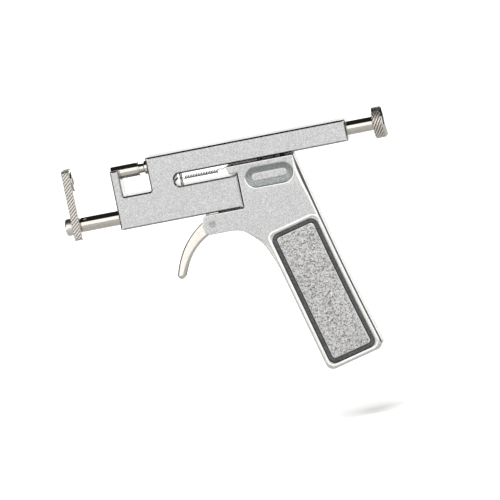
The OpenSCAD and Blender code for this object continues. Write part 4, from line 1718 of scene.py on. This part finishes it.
@dataclass
class Springs:
    """The three springs, wound as real wire and stretched between the bodies that they join."""

    palette: Palette

    def finish(self, piece: bpy.types.Object, node: str) -> None:
        """Dresses a spring and hides the CAD node that it replaces.

        Args:
            piece: The spring.
            node: The CAD node that it replaces.
        """
        Palette.dress(piece, self.palette.spring)
        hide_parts(node)
        LOG.info("%s spans %s", piece.name, " and ".join(piece["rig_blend"]))

    def return_spring(self) -> None:
        """Winds the small extension spring in the side slot, with a hook at each end."""
        low, _ = box_mm("return_spring")
        pin_low, pin_high = box_mm("spring_anchor_pin")
        post = pin_place("spring_post")[0]
        anchor = (pin_low + pin_high) / 2
        z, radius, thin = low.z + 0.8, 0.62, 0.19
        start, end = Vector((post + 1.5, 0, z)), Vector((anchor.x - 4.9, 0, z))
        turns = 20.5
        coils = coil(start, end, radius, turns, 18, 0.25)
        hook = [Vector((post + 0.62 * math.cos(a), 0.62 * math.sin(a), z))
                for a in (math.radians(d) for d in range(-200, 20, 20))]
        lead_in = [hook[-1].lerp(coils[0], t) for t in (0.35, 0.7)]
        rise = [Vector((end.x + 0.5, 0, z + 0.6)), Vector((end.x + 1.4, 0, z + 0.62)),
                Vector((end.x + 2.0, 0, anchor.z - 0.1)), Vector((end.x + 2.9, 0, anchor.z + 0.28))]
        grip = [Vector((anchor.x + 0.66 * math.sin(a), 0, anchor.z + 0.66 * math.cos(a)))
                for a in (math.radians(d) for d in range(-50, 190, 20))]
        piece = wire("return_spring_wound", [*hook, *lead_in, *coils, *rise, *grip], thin, 10)
        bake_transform(piece, Body.SLIDE.value, Body.HANDLE.value,
                 start=(start.x * MM, 0, z * MM), end=((end.x + 0.4) * MM, 0, z * MM))
        self.finish(piece, "return_spring")

    def main_spring(self) -> None:
        """Winds the main compression spring round the plunger rod."""
        low, high = box_mm("main_spring")
        thick = 0.38
        radius = high.z - thick - 0.02
        start, end = Vector((low.x + thick, 0, 0)), Vector((high.x - thick, 0, 0))
        piece = wire("main_spring_wound", coil(start, end, radius, 12.0, 28), thick, 12)
        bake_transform(piece, Body.PLUNGER.value, Body.SLIDE.value,
                 start=((low.x + 0.4) * MM, 0, 0), end=((high.x - 0.4) * MM, 0, 0))
        self.finish(piece, "main_spring")

    def sear_spring(self) -> None:
        """Winds the small spring that lifts the sear."""
        low, high = box_mm("sear_spring")
        x, thin = (low.x + high.x) / 2, 0.14
        start, end = Vector((x, 0, low.z + thin)), Vector((x, 0, high.z - thin))
        piece = wire("sear_spring_wound", coil(start, end, high.y - thin, 6.0, 18), thin, 8)
        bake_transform(piece, Body.SEAR.value, Body.SLIDE.value,
                 start=(x * MM, 0, low.z * MM), end=(x * MM, 0, high.z * MM))
        self.finish(piece, "sear_spring")

    def build(self) -> None:
        """Winds every spring."""
        self.return_spring()
        self.main_spring()
        self.sear_spring()


@dataclass
class InnerPieces:
    """The pins, bushes and the sear, which keep their CAD shape and gain soft edges."""

    palette: Palette
    bevel: float = 0.08
    blackened: tuple[str, ...] = ("sear",)

    def build(self) -> None:
        """Dresses every CAD node that is still shown."""
        for name, piece in sorted(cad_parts.items()):
            if piece.hide_render:
                continue
            Palette.dress(piece, self.palette.black if name in self.blackened else self.palette.steel)
            weld = piece.modifiers.new("weld", "WELD")
            weld.merge_threshold = 0.001 * MM
            soften = piece.modifiers.new("soft_edges", "BEVEL")
            soften.width = self.bevel * MM
            soften.segments = 2
            soften.limit_method = "ANGLE"
            soften.angle_limit = math.radians(50)
            LOG.info("%s keeps its CAD shape", name)


# ------------------------------------------------------------------ studio


@dataclass
class Studio:
    """The white surroundings, the floor, the lamp and the camera."""

    azimuth: float = 7.0
    elevation: float = 6.5
    roll: float = 11.65
    distance: float = 2200.0
    frame_width: float = 208.2
    sensor: float = 36.0
    aim: tuple[float, float, float] = (51.3, -6.0, -41.7)
    floor_drop: float = 22.0
    dark_above: float = 43.0
    dark_behind: float = 32.0
    open_angle: float = 50.0
    table_line: float = -10.5
    front_wall: float = 1.22
    back_wall: float = 1.45
    side_wall: float = 0.10
    least: float = 0.015
    table_glow: float = 0.62

    def world(self) -> None:
        """Surrounds the scene with white screens before and behind it, a pale table and a dark top."""
        world = bpy.data.worlds.new("studio")
        bpy.context.scene.world = world
        world.use_nodes = True
        sheet = NodeSheet(world.node_tree)
        ground = world.node_tree.nodes["Background"]
        spot = sheet.add("ShaderNodeTexCoord")
        x, y, z = sheet.add("ShaderNodeSeparateXYZ", {0: spot.outputs["Generated"]}).outputs
        squares = [sheet.math("MULTIPLY", part, part) for part in (x, y)]
        flat = sheet.math("SQRT", sheet.math("ADD", *squares))
        facing = sheet.math("DIVIDE", sheet.math("ABSOLUTE", y), sheet.math("MAXIMUM", flat, 1e-4))
        screen = sheet.spread(facing, math.cos(math.radians(self.open_angle + 8)),
                              math.cos(math.radians(self.open_angle - 4)), 0.0, 1.0)
        before = sheet.spread(z, sine(self.dark_above - 3), sine(self.dark_above + 3), self.front_wall,
                              0.0)
        behind = sheet.spread(z, sine(self.dark_behind - 2), sine(self.dark_behind + 2), self.back_wall,
                              0.0)
        is_behind = sheet.math("GREATER_THAN", y, 0.0)
        ahead = sheet.math("MULTIPLY", before, sheet.math("SUBTRACT", 1.0, is_behind))
        wall = sheet.math("ADD", ahead, sheet.math("MULTIPLY", behind, is_behind))
        sides = sheet.spread(z, sine(18), sine(26), self.side_wall, 0.0)
        shut = sheet.math("SUBTRACT", 1.0, screen)
        bright = sheet.math("ADD", sheet.math("MULTIPLY", wall, screen), sheet.math("MULTIPLY", sides, shut))
        bright = sheet.math("ADD", bright, self.least)
        above_line = sheet.spread(z, sine(self.table_line), sine(self.table_line + 2.0), 0.0, 1.0)
        table = sheet.spread(z, sine(self.table_line - 2.0), sine(self.table_line - 1.0),
                             self.table_glow, 0.0)
        low_fade = sheet.spread(z, -1.0, sine(self.table_line), 0.75, 1.0, smooth=False)
        lower = sheet.math("MULTIPLY", table, low_fade)
        level = sheet.math("ADD", sheet.math("MULTIPLY", bright, above_line), lower)
        tint = sheet.add("ShaderNodeMix", {0: level, 6: (0.0, 0.0, 0.0, 1.0), 7: (1.0, 0.985, 0.955, 1.0)},
                         data_type="RGBA", clamp_factor=False)
        sheet.join(tint.outputs[2], ground.inputs["Color"])
        plain = sheet.add("ShaderNodeBackground", {"Color": (1.0, 1.0, 1.0, 1.0)})
        ray = sheet.add("ShaderNodeLightPath")
        mix = sheet.add("ShaderNodeMixShader", {
            0: ray.outputs["Is Camera Ray"], 1: ground.outputs[0], 2: plain.outputs[0]})
        sheet.join(mix.outputs[0], world.node_tree.nodes["World Output"].inputs["Surface"])

    def floor(self) -> None:
        """Lays a plain pale floor under the object."""
        size = 60.0
        mesh = bpy.data.meshes.new("floor")
        level = CAD_BOX[0].z - self.floor_drop * MM
        corners = [(-size, -size, level), (size, -size, level), (size, size, level), (-size, size, level)]
        mesh.from_pydata(corners, [], [(0, 1, 2, 3)])
        floor = bpy.data.objects.new("floor", mesh)
        bpy.context.scene.collection.objects.link(floor)
        material = bpy.data.materials.new("pale_floor")
        material.use_nodes = True
        shader = material.node_tree.nodes["Principled BSDF"]
        shader.inputs["Base Color"].default_value = (0.92, 0.92, 0.92, 1.0)
        shader.inputs["Roughness"].default_value = 0.9
        shader.inputs["Specular IOR Level"].default_value = 0.1
        mesh.materials.append(material)
        floor.visible_glossy = False
        floor.visible_diffuse = False

    def lamp(self) -> None:
        """Hangs one broad soft lamp that lights the floor."""
        light = bpy.data.lights.new("soft_lamp", "SUN")
        light.energy = 4.2
        light.angle = math.radians(50)
        lamp = bpy.data.objects.new("soft_lamp", light)
        lamp.rotation_euler = (math.radians(12), math.radians(-8), 0)
        lamp.visible_glossy = False
        bpy.context.scene.collection.objects.link(lamp)

    def camera(self) -> None:
        """Sets the camera: a long lens, a little above and behind square, tilted with the hand."""
        a, e = math.radians(self.azimuth), math.radians(self.elevation)
        back = Vector((math.sin(a) * math.cos(e), -math.cos(a) * math.cos(e), math.sin(e)))
        data = bpy.data.cameras.new("camera")
        data.sensor_width = self.sensor
        data.lens = self.sensor * self.distance / self.frame_width
        data.clip_end = 200.0
        camera = bpy.data.objects.new("camera", data)
        camera.location = (Vector(self.aim) + back * self.distance) * MM
        facing = (-back).to_track_quat("-Z", "Y").to_matrix().to_4x4()
        turned = facing @ Matrix.Rotation(math.radians(-self.roll), 4, "Z")
        camera.rotation_euler = turned.to_euler()
        bpy.context.scene.collection.objects.link(camera)
        bpy.context.scene.camera = camera

    def build(self) -> None:
        """Sets up the whole studio."""
        bpy.context.scene.view_settings.view_transform = "Standard"
        self.world()
        self.floor()
        self.lamp()
        self.camera()


def sine(degrees: float) -> float:
    """The height, on a sphere of radius 1, of a line of sight at an angle above level."""
    return math.sin(math.radians(degrees))


def main() -> None:
    """Builds every part in order."""
    logging.basicConfig(level=logging.INFO, format="%(message)s")
    Studio().build()
    palette = Palette()
    for part in (SlidingBody(palette), Plunger(palette), FrontEnd(palette), Handle(palette),
                 Trigger(palette), Springs(palette), InnerPieces(palette)):
        part.build()


if __name__ == "__main__":
    main()
